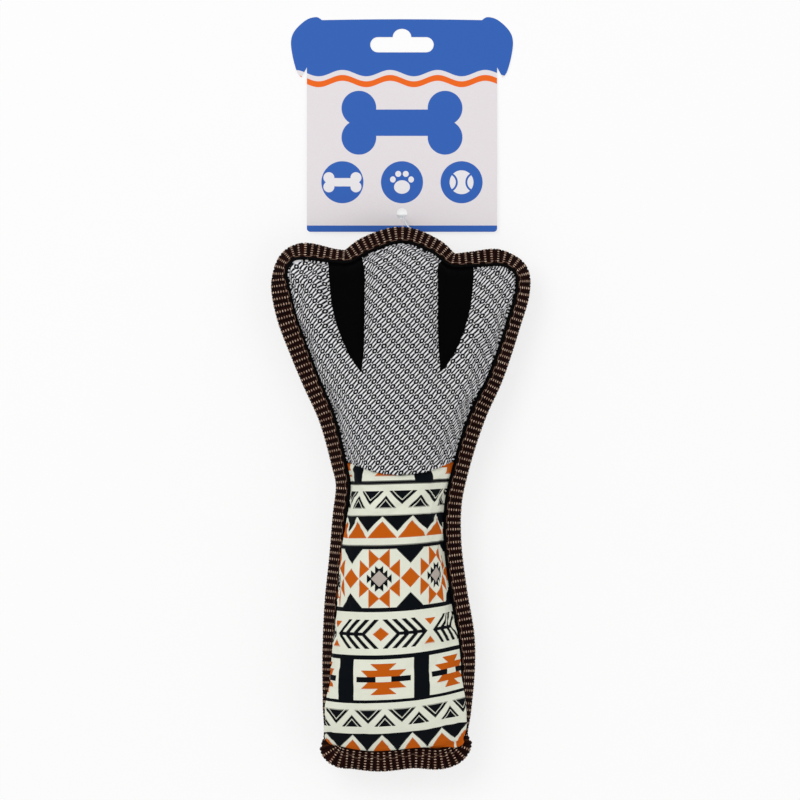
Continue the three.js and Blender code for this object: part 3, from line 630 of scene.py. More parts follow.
def foot_columns(side, rows):
    """The angle of each column on each row: the columns keep to the edges of the toe gaps."""
    angles = np.linspace(0, math.pi, ANGLE_SAMPLES)
    points = swelling(FOOT, side, *np.meshgrid(angles, rows))
    x, y = points[..., 0] - GAP_CENTRE, points[..., 1]
    spread = np.minimum(TIP_SPREAD + SPREAD_GROWTH * np.maximum(GAP_TIP - y, 0), MOST_SPREAD)
    below = np.where(y < GAP_TIP, spread, 0)
    inner = GAP_INNER - below
    outer = np.maximum(gap_outer(y), GAP_INNER + TIP_WIDTH) + below
    lines = [[np.interp(0, f[i], angles) for i in range(len(rows))]
             for f in (x + outer, x + inner, x - inner, x - outer)]
    edges = [np.zeros(len(rows)), *map(np.array, lines), np.full(len(rows), math.pi)]
    columns = [edges[0][:, None]]
    for zone, count in enumerate(FOOT_COLUMNS):
        shares = np.arange(1, count + 1) / count
        columns.append(edges[zone][:, None] * (1 - shares) + edges[zone + 1][:, None] * shares)
    return np.concatenate(columns, 1)


def ragged(x):
    """The uneven cut of the mesh cloth over the print, in millimetres."""
    return sum(height * np.sin(x * rate + start) for height, rate, start in RAGGED_WAVES)


def rolled_edge(points):
    """How the black cloth lies between the toes: sunk, with its two long edges rolled."""
    x, y = np.abs(points[..., 0] - GAP_CENTRE), points[..., 1]
    inward = np.minimum(x - GAP_INNER, gap_outer(y) - x) / ROLL_WIDTH
    roll = np.sqrt(np.maximum(1 - (2 * np.clip(inward, 0, 1) - 1) ** 2, 0))
    return ROLL_HEIGHT * roll - GAP_SUNK


def make_foot(side, face):
    """One side of the foot: its mesh cover and the two black cloths between the toes."""
    rows = even_rows(FOOT, side, FOOT_ROWS)
    angles = foot_columns(side, rows)
    along = np.broadcast_to(rows[:, None], angles.shape)
    points, normals = cover_surface(FOOT, side, angles, along)
    pattern = cloth_places(FOOT, side, angles, rows)
    drop = HEM_DROP * (HEM + ragged(points[:2, :, 0]))
    points[:2, :, 1] -= drop
    pattern[:2, :, 1] -= drop
    points[:3, :, 2] += side * HEM_LIFT
    points[..., 2] = np.maximum(points[..., 2], FLOOR_GAP)
    faces = grid_faces(*angles.shape)
    if side < 0:
        faces = faces[..., ::-1]
    zone = np.repeat(np.arange(5), FOOT_COLUMNS)
    high = points[:-1, :-1, 1] > GAP_TIP
    in_gap = (zone % 2 == 1)[None, :] & high
    everything, place, strip, beside = with_allowance(FOOT, side, angles, along, points, pattern)
    strip_zone = np.where(beside < 0, 0, zone[beside])
    cover_faces = np.concatenate([faces[~in_gap], strip[strip_zone % 2 == 0]])
    cover = finished(new_piece(f"{face}_foot_cover", everything, cover_faces, place), thick(COVER))
    sunk = everything.copy()
    roll = rolled_edge(points) * short_of_toes(along)
    sunk[:roll.size] = (points + normals * roll[..., None]).reshape(-1, 3)
    gaps = []
    for hand, which in (("left", 1), ("right", 3)):
        chosen = faces[in_gap & (zone == which)[None, :]]
        chosen = np.concatenate([chosen, strip[strip_zone == which]])
        gap = new_piece(f"{face}_toe_gap_cloth_{hand}", sunk, chosen, place)
        gaps.append(finished(gap, thick(COVER)))
    return cover, gaps


feet = {face: make_foot(side, face) for face, side in HALVES}
print("foot cover:", len(feet["front"][0].data.polygons), "faces")

# %% [markdown]
# ## Leg panels
# The leg is a printed cloth. Its pattern coordinates run across from one upright line and down from
# the first black line of the print. The cloth lies a little turned and sags between the seams, more
# so towards the heel, so the lines of the print rise to the right and hang in the middle. Near the
# ankle it is gathered on the left and eased on the right, and at the heel its last row is held down
# to the tape.

# %% Leg panels
LEG_ROWS = 172
LEG_COLUMNS = 104
FIRST_LINE = 9.0
PRINT_LENGTH = 110.0
PRINT_MIDDLE = -2.0
ANKLE_SLOPE, SLOPE_GROWTH = 0.03, 0.045
MOST_SAG, SAG_GROWTH = 2.1, 1.15
LEFT_GATHER, GATHER_FADE = 3.0, 4.5
RIGHT_EASE, EASE_FADE = 4.6, 1.6
MOST_EXTRA = 0.9
LAST_ROW = 136.7
PRINT_EASE = ((0.0, 0.2, 0.36, 0.6, 0.85, 1.0, 1.1), (0, 1.2, 1.2, 2.1, 2.5, 2.5, 2.0))
BACK_SHIFT = 11.0


def print_places(points, half_width):
    """Pattern coordinates of the print: the arc across from x = 0, and down from its first line."""
    place = along_cloth(points)
    x, y = points[..., 0], points[..., 1]
    down = np.clip((FIRST_LINE - y) / PRINT_LENGTH, 0, 1.1)
    slope = ANKLE_SLOPE + SLOPE_GROWTH * down
    sag = MOST_SAG * np.minimum(down * SAG_GROWTH, 1)
    eased = np.interp(down, *PRINT_EASE)
    middle = (x - PRINT_MIDDLE) / half_width
    gather = LEFT_GATHER * np.minimum(middle, 0) * np.maximum(1 - down * GATHER_FADE, 0)
    ease = RIGHT_EASE * np.maximum(middle, 0) ** 2 * np.maximum(1 - down * EASE_FADE, 0)
    u = place[..., 0] + middle ** 3 + gather - ease
    # Where the cloth turns down at the heel, more of it passes than the view from above shows.
    steeper = np.abs(np.diff(place[::-1, :, 1], axis=0)) - np.abs(np.diff(y[::-1], axis=0))
    extra = np.concatenate([np.zeros((1, y.shape[1])), np.cumsum(steeper, axis=0)])[::-1]
    extra = np.minimum(extra * smooth_step(down * 2 - 0.5), MOST_EXTRA)
    v = FIRST_LINE - y + slope * x - sag * (1 - middle ** 2) + eased + extra
    return np.stack([u, np.minimum(v, LAST_ROW), np.zeros_like(u)], -1)


def make_leg(side, face):
    """One side of the leg. The back's print is mirrored and shifted."""
    rows = even_rows(LEG, side, LEG_ROWS)
    angles = np.linspace(0, math.pi, LEG_COLUMNS + 1)
    angle, along = np.meshgrid(angles, rows)
    points, _ = cover_surface(LEG, side, angle, along)
    plain = swelling(LEG, side, angle, along)
    pattern = print_places(plain, (plain[:, -1:, 0] - plain[:, :1, 0]) / 2)
    faces = grid_faces(*angle.shape).reshape(-1, 4)
    if side < 0:
        faces = faces[:, ::-1]
        pattern[..., 0] = BACK_SHIFT - pattern[..., 0]
    everything, place, strip, _ = with_allowance(LEG, side, angle, along, points, pattern)
    leg = new_piece(f"{face}_leg_cover", everything, np.concatenate([faces, strip]), place)
    return finished(leg, thick(COVER))


legs = {face: make_leg(side, face) for face, side in HALVES}
print("leg cover:", len(legs["front"].data.polygons), "faces")

# %% [markdown]
# ## Lining and filling
# Behind the covers a plain lining takes the load, and firm fibre fills both halves round the
# squeaker. They can't be seen, but they keep the valleys between the toes clear: both are the
# covers' own surface, taken deeper, so nothing pokes through.

# %% Lining and filling
LINING = 0.6
LINING_DEPTH = 1.7
FILLING_DEPTH = 2.7
EDGE_ANGLE = 0.16
END_MARGIN = 2.5
ANKLE_MARGIN = 0.2
INNER_COLUMNS = 45
INNER_ROWS = {LEG: 56, FOOT: 44}
POCKET_RADII = (17.5, 17.5, 14.5)
POCKET_SEGMENTS, POCKET_RINGS = 40, 20
bulb_box = np.array(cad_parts["squeaker_bulb"].bound_box) / MM
POCKET_MIDDLE = (*bulb_box.mean(0)[:2], SEAM_HEIGHT)


def under_cover(region, side, depth, ankle_margin=0.0):
    """A grid of points this deep under a finished cover, kept a little inside its seams."""
    length = REGION_LENGTH[region]
    low, high = (END_MARGIN, ankle_margin) if region == LEG else (ankle_margin, END_MARGIN)
    along = np.linspace(low / length, (length - high) / length, INNER_ROWS[region])
    angle = np.linspace(EDGE_ANGLE, math.pi - EDGE_ANGLE, INNER_COLUMNS)
    points, normals = cover_surface(region, side, *np.meshgrid(angle, along))
    return points - normals * depth


def make_lining(side, face):
    """The lining of one half, leg and foot in one."""
    leg, foot = (under_cover(region, side, LINING_DEPTH) for region in (LEG, FOOT))
    points = np.concatenate([leg[:-1], (leg[-1:] + foot[:1]) / 2, foot[1:]])
    faces = grid_faces(*points.shape[:2]).reshape(-1, 4)
    piece = new_piece(f"{face}_lining_cloth", points.reshape(-1, 3), faces[:, ::side],
                      along_cloth(points).reshape(-1, 3))
    return finished(piece, thick(LINING))


def pocket_for_squeaker():
    """The room that the fibre leaves round the bulb."""
    mesh = bpy.data.meshes.new("pocket")
    shape = bmesh.new()
    bmesh.ops.create_uvsphere(shape, u_segments=POCKET_SEGMENTS, v_segments=POCKET_RINGS,
                              radius=MM)
    bmesh.ops.scale(shape, vec=POCKET_RADII, verts=shape.verts)
    bmesh.ops.translate(shape, vec=Vector(POCKET_MIDDLE) * MM, verts=shape.verts)
    shape.to_mesh(mesh)
    shape.free()
    return new_object("pocket", mesh)


def make_filling(region, pocket):
    """The fibre of one region: a closed block between the two covers, less the pocket."""
    front, back = (under_cover(region, side, FILLING_DEPTH, ANKLE_MARGIN) for side in (1, -1))
    rows, columns = front.shape[:2]
    index = np.arange(rows * columns).reshape(rows, columns)
    under = index + rows * columns
    top = grid_faces(rows, columns).reshape(-1, 4)
    faces = [top, top[:, ::-1] + rows * columns]
    for edge in (np.s_[0, :], np.s_[-1, :], np.s_[:, 0], np.s_[:, -1]):
        a, b = index[edge], under[edge]
        faces.append(np.stack([b[:-1], b[1:], a[1:], a[:-1]], -1))
    points = np.concatenate([front.reshape(-1, 3), back.reshape(-1, 3)])
    piece = new_piece(f"{region}_fibre", points, np.concatenate(faces))
    shape = bmesh.new()
    shape.from_mesh(piece.data)
    bmesh.ops.recalc_face_normals(shape, faces=shape.faces)
    shape.to_mesh(piece.data)
    shape.free()
    return finished(piece, ("BOOLEAN", {"operation": "DIFFERENCE", "object": pocket}))


linings = {face: make_lining(side, face) for face, side in HALVES}
pocket = pocket_for_squeaker()
fillings = {region: make_filling(region, pocket) for region in (LEG, FOOT)}
bpy.data.objects.remove(pocket)
fibre_faces = {region: len(piece.data.polygons) for region, piece in fillings.items()}
print("fibre:", fibre_faces, "faces")

# %% [markdown]
# ## The tape round the seam
# Ribbed webbing is folded over the seam allowance, and a second, wider strip closes the bottom. The
# base of each tape is its folded section swept along the seam; the section's inner end steps back
# where the fin leans, so that it stays clear of the back cover. The ribs and the tan stitches come
# after it.

# %% The folded tape
TAPE = 1.0
TAPE_WIDTH = 10.0
BOTTOM_WIDTH = 11.0
TAPE_STEP = 0.8
BACK_MARGIN = 0.4
BACK_CLEAR = 2.95
PAIR_PITCH = 3.25
PAIR_REACH = 6.5
EDGE_RUN = (0.44, 40.56)
BOTTOM_RUN = (40.57, 46.43)
TAPE_SAMPLES = 6000
FRONT_SECTION = np.array([
    (0.3, 1.5), (0.6, 2.1), (1.2, 2.5), (2.2, 2.65), (3.4, 2.65), (5.0, 2.65),
    (6.6, 2.65), (7.7, 2.6), (8.6, 2.35), (9.3, 1.85), (9.75, 1.15), (9.95, 0.4),
])


def tape_section(lean, width):
    """The outer line of the folded tape as (out, above), from its front edge to its back edge."""
    stretch = 1 + (width - TAPE_WIDTH) / TAPE_WIDTH
    front = FRONT_SECTION * (stretch, 1)
    first = FRONT_SECTION[0, 0]
    start = (BACK_MARGIN + BACK_CLEAR * math.sin(lean)) / math.cos(lean)
    back = FRONT_SECTION[::-1] * (stretch, -1)
    back[:, 0] = start + (back[:, 0] - first) * (width - start) / (width - first)
    return np.concatenate([front, back])


def even_stations(first, last, step, reach):
    """Stations spaced evenly, as measured at this reach out along the fin."""
    stations = np.linspace(first, last, TAPE_SAMPLES)
    seam = seam_at(stations)
    lengths = lengths_along(seam["point"] + fin_ways(seam)[0] * reach)
    wanted = np.linspace(0, lengths[-1], round(lengths[-1] / step) + 1)
    return np.interp(wanted, lengths, stations)


def pair_stations(run):
    """Where the rows of stitches are: evenly spaced along the ribbed part of the tape."""
    return even_stations(*run, PAIR_PITCH, PAIR_REACH)


def make_tape(name, run, width):
    """The base of a tape, whose pattern coordinates count the rows of stitches along it."""
    stations = even_stations(*run, TAPE_STEP, width)
    rows = pair_stations(run)
    lengths = np.interp(stations, rows, np.arange(len(rows)) * PAIR_PITCH)
    seam = seam_at(stations)
    out, above = fin_ways(seam)
    section = np.array([tape_section(lean, width) for lean in seam["lean"]])
    points = seam["point"][:, None] + out[:, None] * section[..., :1]
    points = points + above[:, None] * section[..., 1:]
    place = np.stack([np.broadcast_to(lengths[:, None], section.shape[:2]),
                      section[..., 0], section[..., 1]], -1)
    faces = grid_faces(*points.shape[:2]).reshape(-1, 4)[:, ::-1]
    tape = new_piece(name, points.reshape(-1, 3), faces, place.reshape(-1, 3))
    return finished(tape, thick(TAPE))


edge_tape = make_tape("edge_tape", EDGE_RUN, TAPE_WIDTH)
bottom_tape = make_tape("bottom_tape", BOTTOM_RUN, BOTTOM_WIDTH)
print("edge tape:", len(edge_tape.data.polygons), "faces")

# %% [markdown]
# ## Ribs and stitches, by Geometry Nodes
# The webbing is woven with ribs across it, in pairs, and between the pairs the tan warp shows as a
# row of short dashes. Both follow the seam, so each is one shape repeated along it: a mesh of
# single points carries the turn of the fin at each place, and a Geometry Nodes tree puts a copy
# there. The tan thread at the inner margin steps in and out between the pairs, so it is one line
# swept into a thread.

# %% Node trees for what repeats
SHADE_SEED = 7
RIB_SIDES = 8
THREAD_SIDES = 6
DASH_SEGMENTS, DASH_RINGS = 7, 5


def start_tree(name, sizes):
    """A Geometry Nodes tree with inputs for a mesh, a path, a material and its named sizes."""
    tree = bpy.data.node_groups.new(name, "GeometryNodeTree")
    face = tree.interface
    face.new_socket("Geometry", in_out="INPUT", socket_type="NodeSocketGeometry")
    face.new_socket("Path", in_out="INPUT", socket_type="NodeSocketObject")
    face.new_socket("Material", in_out="INPUT", socket_type="NodeSocketMaterial")
    for size in sizes:
        kind = "NodeSocketInt" if size == "Count" else "NodeSocketFloat"
        face.new_socket(size, in_out="INPUT", socket_type=kind)
    face.new_socket("Geometry", in_out="OUTPUT", socket_type="NodeSocketGeometry")
    return tree, tree.nodes.new("NodeGroupInput")


def add_node(tree, kind, inputs=None, **settings):
    """A node: first its settings, then its sockets, fed with values or with other sockets."""
    node = tree.nodes.new(kind)
    for name, value in settings.items():
        setattr(node, name, value)
    for name, value in (inputs or {}).items():
        if isinstance(value, bpy.types.NodeSocket):
            tree.links.new(value, node.inputs[name])
        else:
            node.inputs[name].default_value = value
    return node


def path_curve(tree, given):
    """The path object's line as a curve."""
    path = add_node(tree, "GeometryNodeObjectInfo", {"Object": given.outputs["Path"]})
    line = add_node(tree, "GeometryNodeMeshToCurve", {"Mesh": path.outputs["Geometry"]})
    return line.outputs["Curve"]


def place_on_seam(tree, given, piece):
    """Copies a piece to every seam point, turned with the fin."""
    turn = add_node(tree, "GeometryNodeInputNamedAttribute", {"Name": "turn"},
                    data_type="FLOAT_VECTOR")
    turned = add_node(tree, "FunctionNodeEulerToRotation", {"Euler": turn.outputs["Attribute"]})
    points = add_node(tree, "GeometryNodeMeshToPoints", {"Mesh": given.outputs["Geometry"]})
    return add_node(tree, "GeometryNodeInstanceOnPoints", {
        "Points": points.outputs["Points"], "Instance": piece,
        "Rotation": turned.outputs["Rotation"]}).outputs["Instances"]


def end_tree(tree, given, geometry):
    """Every tree ends the same way: real geometry, a shade for each part, and the material."""
    real = add_node(tree, "GeometryNodeRealizeInstances", {"Geometry": geometry})
    island = add_node(tree, "GeometryNodeInputMeshIsland")
    chance = add_node(tree, "FunctionNodeRandomValue", {
        "ID": island.outputs["Island Index"], "Seed": SHADE_SEED}, data_type="FLOAT")
    shaded = add_node(tree, "GeometryNodeStoreNamedAttribute", {
        "Geometry": real.outputs["Geometry"], "Name": "shade", "Value": chance.outputs["Value"]},
        data_type="FLOAT", domain="POINT")
    smooth = add_node(tree, "GeometryNodeSetShadeSmooth", {"Geometry": shaded.outputs["Geometry"]})
    done = add_node(tree, "GeometryNodeSetMaterial", {
        "Geometry": smooth.outputs["Geometry"], "Material": given.outputs["Material"]})
    out = tree.nodes.new("NodeGroupOutput")
    tree.links.new(done.outputs["Geometry"], out.inputs["Geometry"])
    return tree


def rib_tree():
    """A flattened rod along the path, at every point of the seam."""
    tree, given = start_tree("ribs", ("Rib Width", "Rib Height"))
    round_end = add_node(tree, "GeometryNodeCurvePrimitiveCircle", {
        "Resolution": RIB_SIDES, "Radius": 0.5})
    size = add_node(tree, "ShaderNodeCombineXYZ", {
        "X": given.outputs["Rib Width"], "Y": given.outputs["Rib Height"], "Z": 1.0})
    profile = add_node(tree, "GeometryNodeTransform", {
        "Geometry": round_end.outputs["Curve"], "Scale": size.outputs["Vector"]})
    rib = add_node(tree, "GeometryNodeCurveToMesh", {
        "Curve": path_curve(tree, given), "Profile Curve": profile.outputs["Geometry"],
        "Fill Caps": True})
    return end_tree(tree, given, place_on_seam(tree, given, rib.outputs["Mesh"]))


def dash_tree():
    """A row of small beads along the path, at every point of the seam."""
    tree, given = start_tree("dashes", ("Count", "Dash Length", "Dash Width"))
    spots = add_node(tree, "GeometryNodeCurveToPoints", {
        "Curve": path_curve(tree, given), "Count": given.outputs["Count"]}, mode="COUNT")
    ball = add_node(tree, "GeometryNodeMeshUVSphere", {
        "Segments": DASH_SEGMENTS, "Rings": DASH_RINGS, "Radius": 0.5})
    size = add_node(tree, "ShaderNodeCombineXYZ", {
        "X": given.outputs["Dash Length"], "Y": given.outputs["Dash Width"],
        "Z": given.outputs["Dash Width"]})
    dash = add_node(tree, "GeometryNodeTransform", {
        "Geometry": ball.outputs["Mesh"], "Scale": size.outputs["Vector"]})
    row = add_node(tree, "GeometryNodeInstanceOnPoints", {
        "Points": spots.outputs["Points"], "Instance": dash.outputs["Geometry"]})
    return end_tree(tree, given, place_on_seam(tree, given, row.outputs["Instances"]))


def thread_tree():
    """A round thread along a line."""
    tree, given = start_tree("thread", ("Thread Radius",))
    line = add_node(tree, "GeometryNodeMeshToCurve", {"Mesh": given.outputs["Geometry"]})
    profile = add_node(tree, "GeometryNodeCurvePrimitiveCircle", {
        "Resolution": THREAD_SIDES, "Radius": given.outputs["Thread Radius"]})
    thread = add_node(tree, "GeometryNodeCurveToMesh", {
        "Curve": line.outputs["Curve"], "Profile Curve": profile.outputs["Curve"],
        "Fill Caps": True})
    return end_tree(tree, given, thread.outputs["Mesh"])


TREES = {"ribs": rib_tree(), "dashes": dash_tree(), "thread": thread_tree()}
print("trees:", ", ".join(TREES))


# %% Points and lines for the trees
def line_object(name, points):
    """A mesh of one line through points in millimetres."""
    mesh = bpy.data.meshes.new(name)
    edges = [(k, k + 1) for k in range(len(points) - 1)]
    mesh.from_pydata((np.asarray(points) * MM).tolist(), edges, [])
    return new_object(name, mesh)


def seam_marks(name, stations):
    """Single points on the seam, each with the turn of the fin there."""
    seam = seam_at(stations)
    out, above = fin_ways(seam)
    mesh = bpy.data.meshes.new(name)
    mesh.from_pydata((seam["point"] * MM).tolist(), [], [])
    turn = mesh.attributes.new("turn", "FLOAT_VECTOR", "POINT")
    for k, axes in enumerate(zip(seam["ahead"], out, above)):
        turn.data[k].vector = Matrix(axes).transposed().to_euler()
    return new_object(name, mesh)


def grown(name, tree, start, material, path=None, **sizes):
    """Runs a tree on a start mesh and returns the result as a plain piece."""
    modifier = start.modifiers.new("grow", "NODES")
    modifier.node_group = TREES[tree]
    values = {"Path": path, "Material": material}
    values.update({size.replace("_", " ").title(): value for size, value in sizes.items()})
    for socket in TREES[tree].interface.items_tree:
        if socket.in_out == "INPUT" and values.get(socket.name) is not None:
            modifier[socket.identifier] = values[socket.name]
    evaluated = start.evaluated_get(bpy.context.evaluated_depsgraph_get())
    mesh = bpy.data.meshes.new_from_object(evaluated)
    mesh.name = name
    piece = new_object(name, mesh)
    bpy.data.objects.remove(start)
    if path is not None:
        bpy.data.objects.remove(path)
    return piece


def fin_point(stations, out, above):
    """Points beside the seam, given out along the fin and above it."""
    seam = seam_at(stations)
    ways = fin_ways(seam)
    out, above = (np.asarray(distance)[..., None] for distance in (out, above))
    return seam["point"] + ways[0] * out + ways[1] * above


print("5 mm out along the fin at the left ankle:", fin_point(ANKLE_LEFT, 5, 0).round(1))

# %% [markdown]
# ## Sums over a surface
# Materials here are mostly arithmetic: masks for printed shapes, threads and ribs. A small class
# wraps a node's output so that the arithmetic reads as Python, and each operation adds its own Math
# node.

# %% Values over a surface
BLUR = 0.16
MIX_A, MIX_B, MIX_COLOUR = 6, 7, 2  # the Mix node's colour sockets, whose names repeat


class Value:
    """A number, colour or vector that varies over a surface."""

    def __init__(self, tree, socket=None):
        self.tree, self.socket = tree, socket

    def node(self, kind, settings=None, sockets=None, out=0):
        """Any node: its type, settings, the values or links of its sockets, and which output."""
        node = self.tree.nodes.new("ShaderNode" + kind)
        for name, value in (settings or {}).items():
            setattr(node, name, value)
        for name, value in (sockets or {}).items():
            if isinstance(value, Value):
                self.tree.links.new(value.socket, node.inputs[name])
            else:
                node.inputs[name].default_value = value
        return Value(self.tree, node.outputs[out])

    def maths(self, operation, *terms, clamp=False):
        settings = {"operation": operation, "use_clamp": clamp}
        return self.node("Math", settings, dict(enumerate(terms)))

    def __add__(self, other):
        return self.maths("ADD", self, other)

    def __sub__(self, other):
        return self.maths("SUBTRACT", self, other)

    def __rsub__(self, other):
        return self.maths("SUBTRACT", other, self)

    def __mul__(self, other):
        return self.maths("MULTIPLY", self, other)

    def __truediv__(self, other):
        return self.maths("DIVIDE", self, other)

    def __and__(self, other):
        return self.maths("MINIMUM", self, other)

    def __or__(self, other):
        return self.maths("MAXIMUM", self, other)

    def __abs__(self):
        return self.maths("ABSOLUTE", self)

    __radd__, __rmul__ = __add__, __mul__

    def near(self, period, middle=0.0):
        """How far this is from the nearest of the places a period apart, one of them the middle."""
        return self.maths("PINGPONG", self - middle, period / 2)

    def within(self, limit, blur=BLUR):
        """1 where this is less than a limit, 0 where it is more, with a narrow soft edge."""
        return self.maths("MULTIPLY_ADD", self - limit, -1 / blur, 0.5, clamp=True)

    def beyond(self, limit, blur=BLUR):
        """1 where this is more than a limit, 0 where it is less."""
        return self.maths("MULTIPLY_ADD", self - limit, 1 / blur, 0.5, clamp=True)

    def between(self, low, high):
        return self.beyond(low) & self.within(high)

    def mix(self, low, high):
        """The colour low where this is 0 and high where it is 1."""
        return self.node("Mix", {"data_type": "RGBA"}, {"Factor": self, MIX_A: low, MIX_B: high},
                         out=MIX_COLOUR)

    def axis(self, number):
        """One of a vector's three numbers."""
        return self.node("SeparateXYZ", None, {0: self}, out=number)

    def noise(self, scale, detail):
        """A cloudy value from 0 to 1, read at this place."""
        return self.node("TexNoise", None, {"Vector": self, "Scale": scale, "Detail": detail})


def paint(code):
    """A colour written as red, green and blue in hexadecimal, as the shader needs it."""
    parts = [int(code[k:k + 2], 16) / 255 for k in (0, 2, 4)]
    return (*[c / 12.92 if c <= 0.04045 else ((c + 0.055) / 1.055) ** 2.4 for c in parts], 1.0)


def new_material(name, **constants):
    """A material with its constants on the shader, and a first value to build from."""
    material = bpy.data.materials.new(name)
    material.use_nodes = True
    shader = material.node_tree.nodes["Principled BSDF"]
    for socket, value in constants.items():
        shader.inputs[socket.replace("_", " ").title().replace("Ior", "IOR")].default_value = value
    return material, shader, Value(material.node_tree)


def feed(material, shader, colour, roughness, height):
    """Links what varies to the shader. A height in millimetres becomes a normal through Bump."""
    links = material.node_tree.links
    bump = height.node("Bump", None, {"Strength": 1.0, "Distance": MM, "Height": height})
    for value, socket in ((colour, "Base Color"), (roughness, "Roughness"), (bump, "Normal")):
        links.new(value.socket, shader.inputs[socket])
    return material


def pattern_axes(value):
    """The piece's own pattern coordinates as two separate values, and together as a vector."""
    whole = value.node("Attribute", {"attribute_name": "pattern"}, out=1)
    return whole.axis(0), whole.axis(1), whole


MATERIALS = {}


def keep(key, material):
    """Adds a finished material under its short name and says how large it is."""
    MATERIALS[key] = material
    print(f"{key}: {material.name}, {len(material.node_tree.nodes)} nodes")


print("mid grey as the shader needs it:", round(paint("808080")[0], 3))

# %% [markdown]
# ## The printed leg cloth
# The print is five bands of simple shapes between black lines, and it repeats every 109 mm. Each
# shape is a comparison of two distances: from the nearest repeat across, and down from a line. The
# cloth is a ribbed canvas, and ink takes to it row by row, so the place down the cloth is first
# snapped to its ribs, which gives slanted edges the fine steps of the real print. In each band u
# runs across and v down; near() folds u round the middle of the nearest shape, so x is how far a
# place is to its side, and y how far it is above or below the band's middle. A slanted edge is then
# a weighted sum of x and y held against a limit.

# %% Bands of the print
BAND_LINES = ((16.7, 17.3), (31.5, 33.6), (62.5, 64.6), (86.0, 88.0))
FIRST_LINE_HALF = 0.85
TOOTH = 2.07
EDGE = 0.25


def triangle_band(u, v):
    """Nested black triangles, pointing down and up in turn."""
    pitch, first, top, foot = 17.0, 1.0, 4.15, 13.0
    x = u.near(pitch, first)
    down = x + (v - top) * 0.98
    up = (pitch / 2 - x) + (foot - v) * 0.86
    down = down.between(5.05, 7.0) | down.within(4.5)
    up = up.between(3.85, 5.5) | up.within(3.35)
    return (down & v.beyond(top)) | (up & v.within(foot))


def peak_band(u, v):
    """Black points hanging from a line over orange peaks: the black, then the orange."""
    pitch, first, line, point, tip, foot = 15.2, -1.35, 16.8, 24.9, 20.0, 27.9
    x = u.near(pitch, first)
    black = (x + v).within(point) & v.beyond(line)
    orange = ((pitch / 2 - x) - (v - tip) * 0.9).within(0.2) & v.within(foot)
    return black, orange


def star_band(u, v):
    """Orange stars round a toothed diamond, with black points between: black, orange, grey."""
    pitch, first, middle, half_band = 31.0, -10.35, 48.0, 15.2
    x, y = u.near(pitch, first), abs(v - middle)
    beside = (pitch / 2 - x) * 1.05
    steps = x / TOOTH
    teeth = x + y * 0.97 - steps.maths("FRACT", steps) * 3.8
    ring = (teeth.within(4.6) & x.within(6.5)) | (x + y).within(5.1)
    upper = (abs(y - 9.9) - (x - 0.1) * 0.88).within(EDGE) & x.within(5.3)
    lower = (abs(y - 4.9) - (x - 5.3) * 0.87).within(EDGE) & x.within(10.3)
    lone = (beside + y).within(5.05)
    points = (beside - y).within(-7.3) & y.within(half_band)
    return ring | points, upper | lower | lone, (x + y).within(4.1)


def arrow_band(u, v):
    """Feathered arrows on both sides of a small diamond: the black, then the orange."""
    pitch, first, middle = 51.0, -9.5, 75.6
    x, y = u.near(pitch, first), abs(v - middle)
    slant = x + y * 0.96
    feathers = slant.near(4.65, 8.9).within(1.2)
    arms = feathers & slant.between(7.7, 23.8) & y.within(7.1)
    spine = y.within(0.8) & x.between(8.9, 22.8)
    lone = (x * 0.84 + y).within(3.4)
    ends = ((pitch / 2 - x) - (y - 3.2) * 0.97).within(0.4) & y.within(6.3)
    return arms | spine, lone | ends


def block_band(u, v):
    """Stepped orange shapes on black bars between black blocks: the black, then the orange."""
    pitch, first, middle, half_band = 38.6, -8.25, 97.8, 10.9
    x, y = u.near(pitch, first), abs(v - middle)
    bars = x.between(3.9, 13.6) & y.within(1.5)
    blocks = x.beyond(15.2) & (y.within(half_band) | v.within(0))
    wide = (x - (y - 1.4) * 1.1).within(7.95) & y.between(1.4, 4.7)
    narrow = (x - (y - 4.7) * 1.22).within(3.0) & y.between(4.5, 7.8)
    return bars | blocks, wide | narrow


print("print: five bands between", len(BAND_LINES) + 1, "black lines")

# %% [markdown]
# ## The canvas under the print
# The bands are laid over each other: where any of them is black the ink shows, then the orange,
# then the grey. A slow and a fine noise darken the cloth here and there, and its ribs and yarns
# stand up a little. The ribs also paint shade into the colour: a little darker in the grooves,
# lighter on the crests.

# %% The printed cloth
CREAM, INK, ORANGE, GREY = (paint(code) for code in ("e9ebda", "060a10", "c65d10", "b9afa6"))
REPEAT = 109.0
ABOVE_FIRST = 2.0
CANVAS_RIB = 0.53
CANVAS_YARN = 0.5
COMB = 0.14


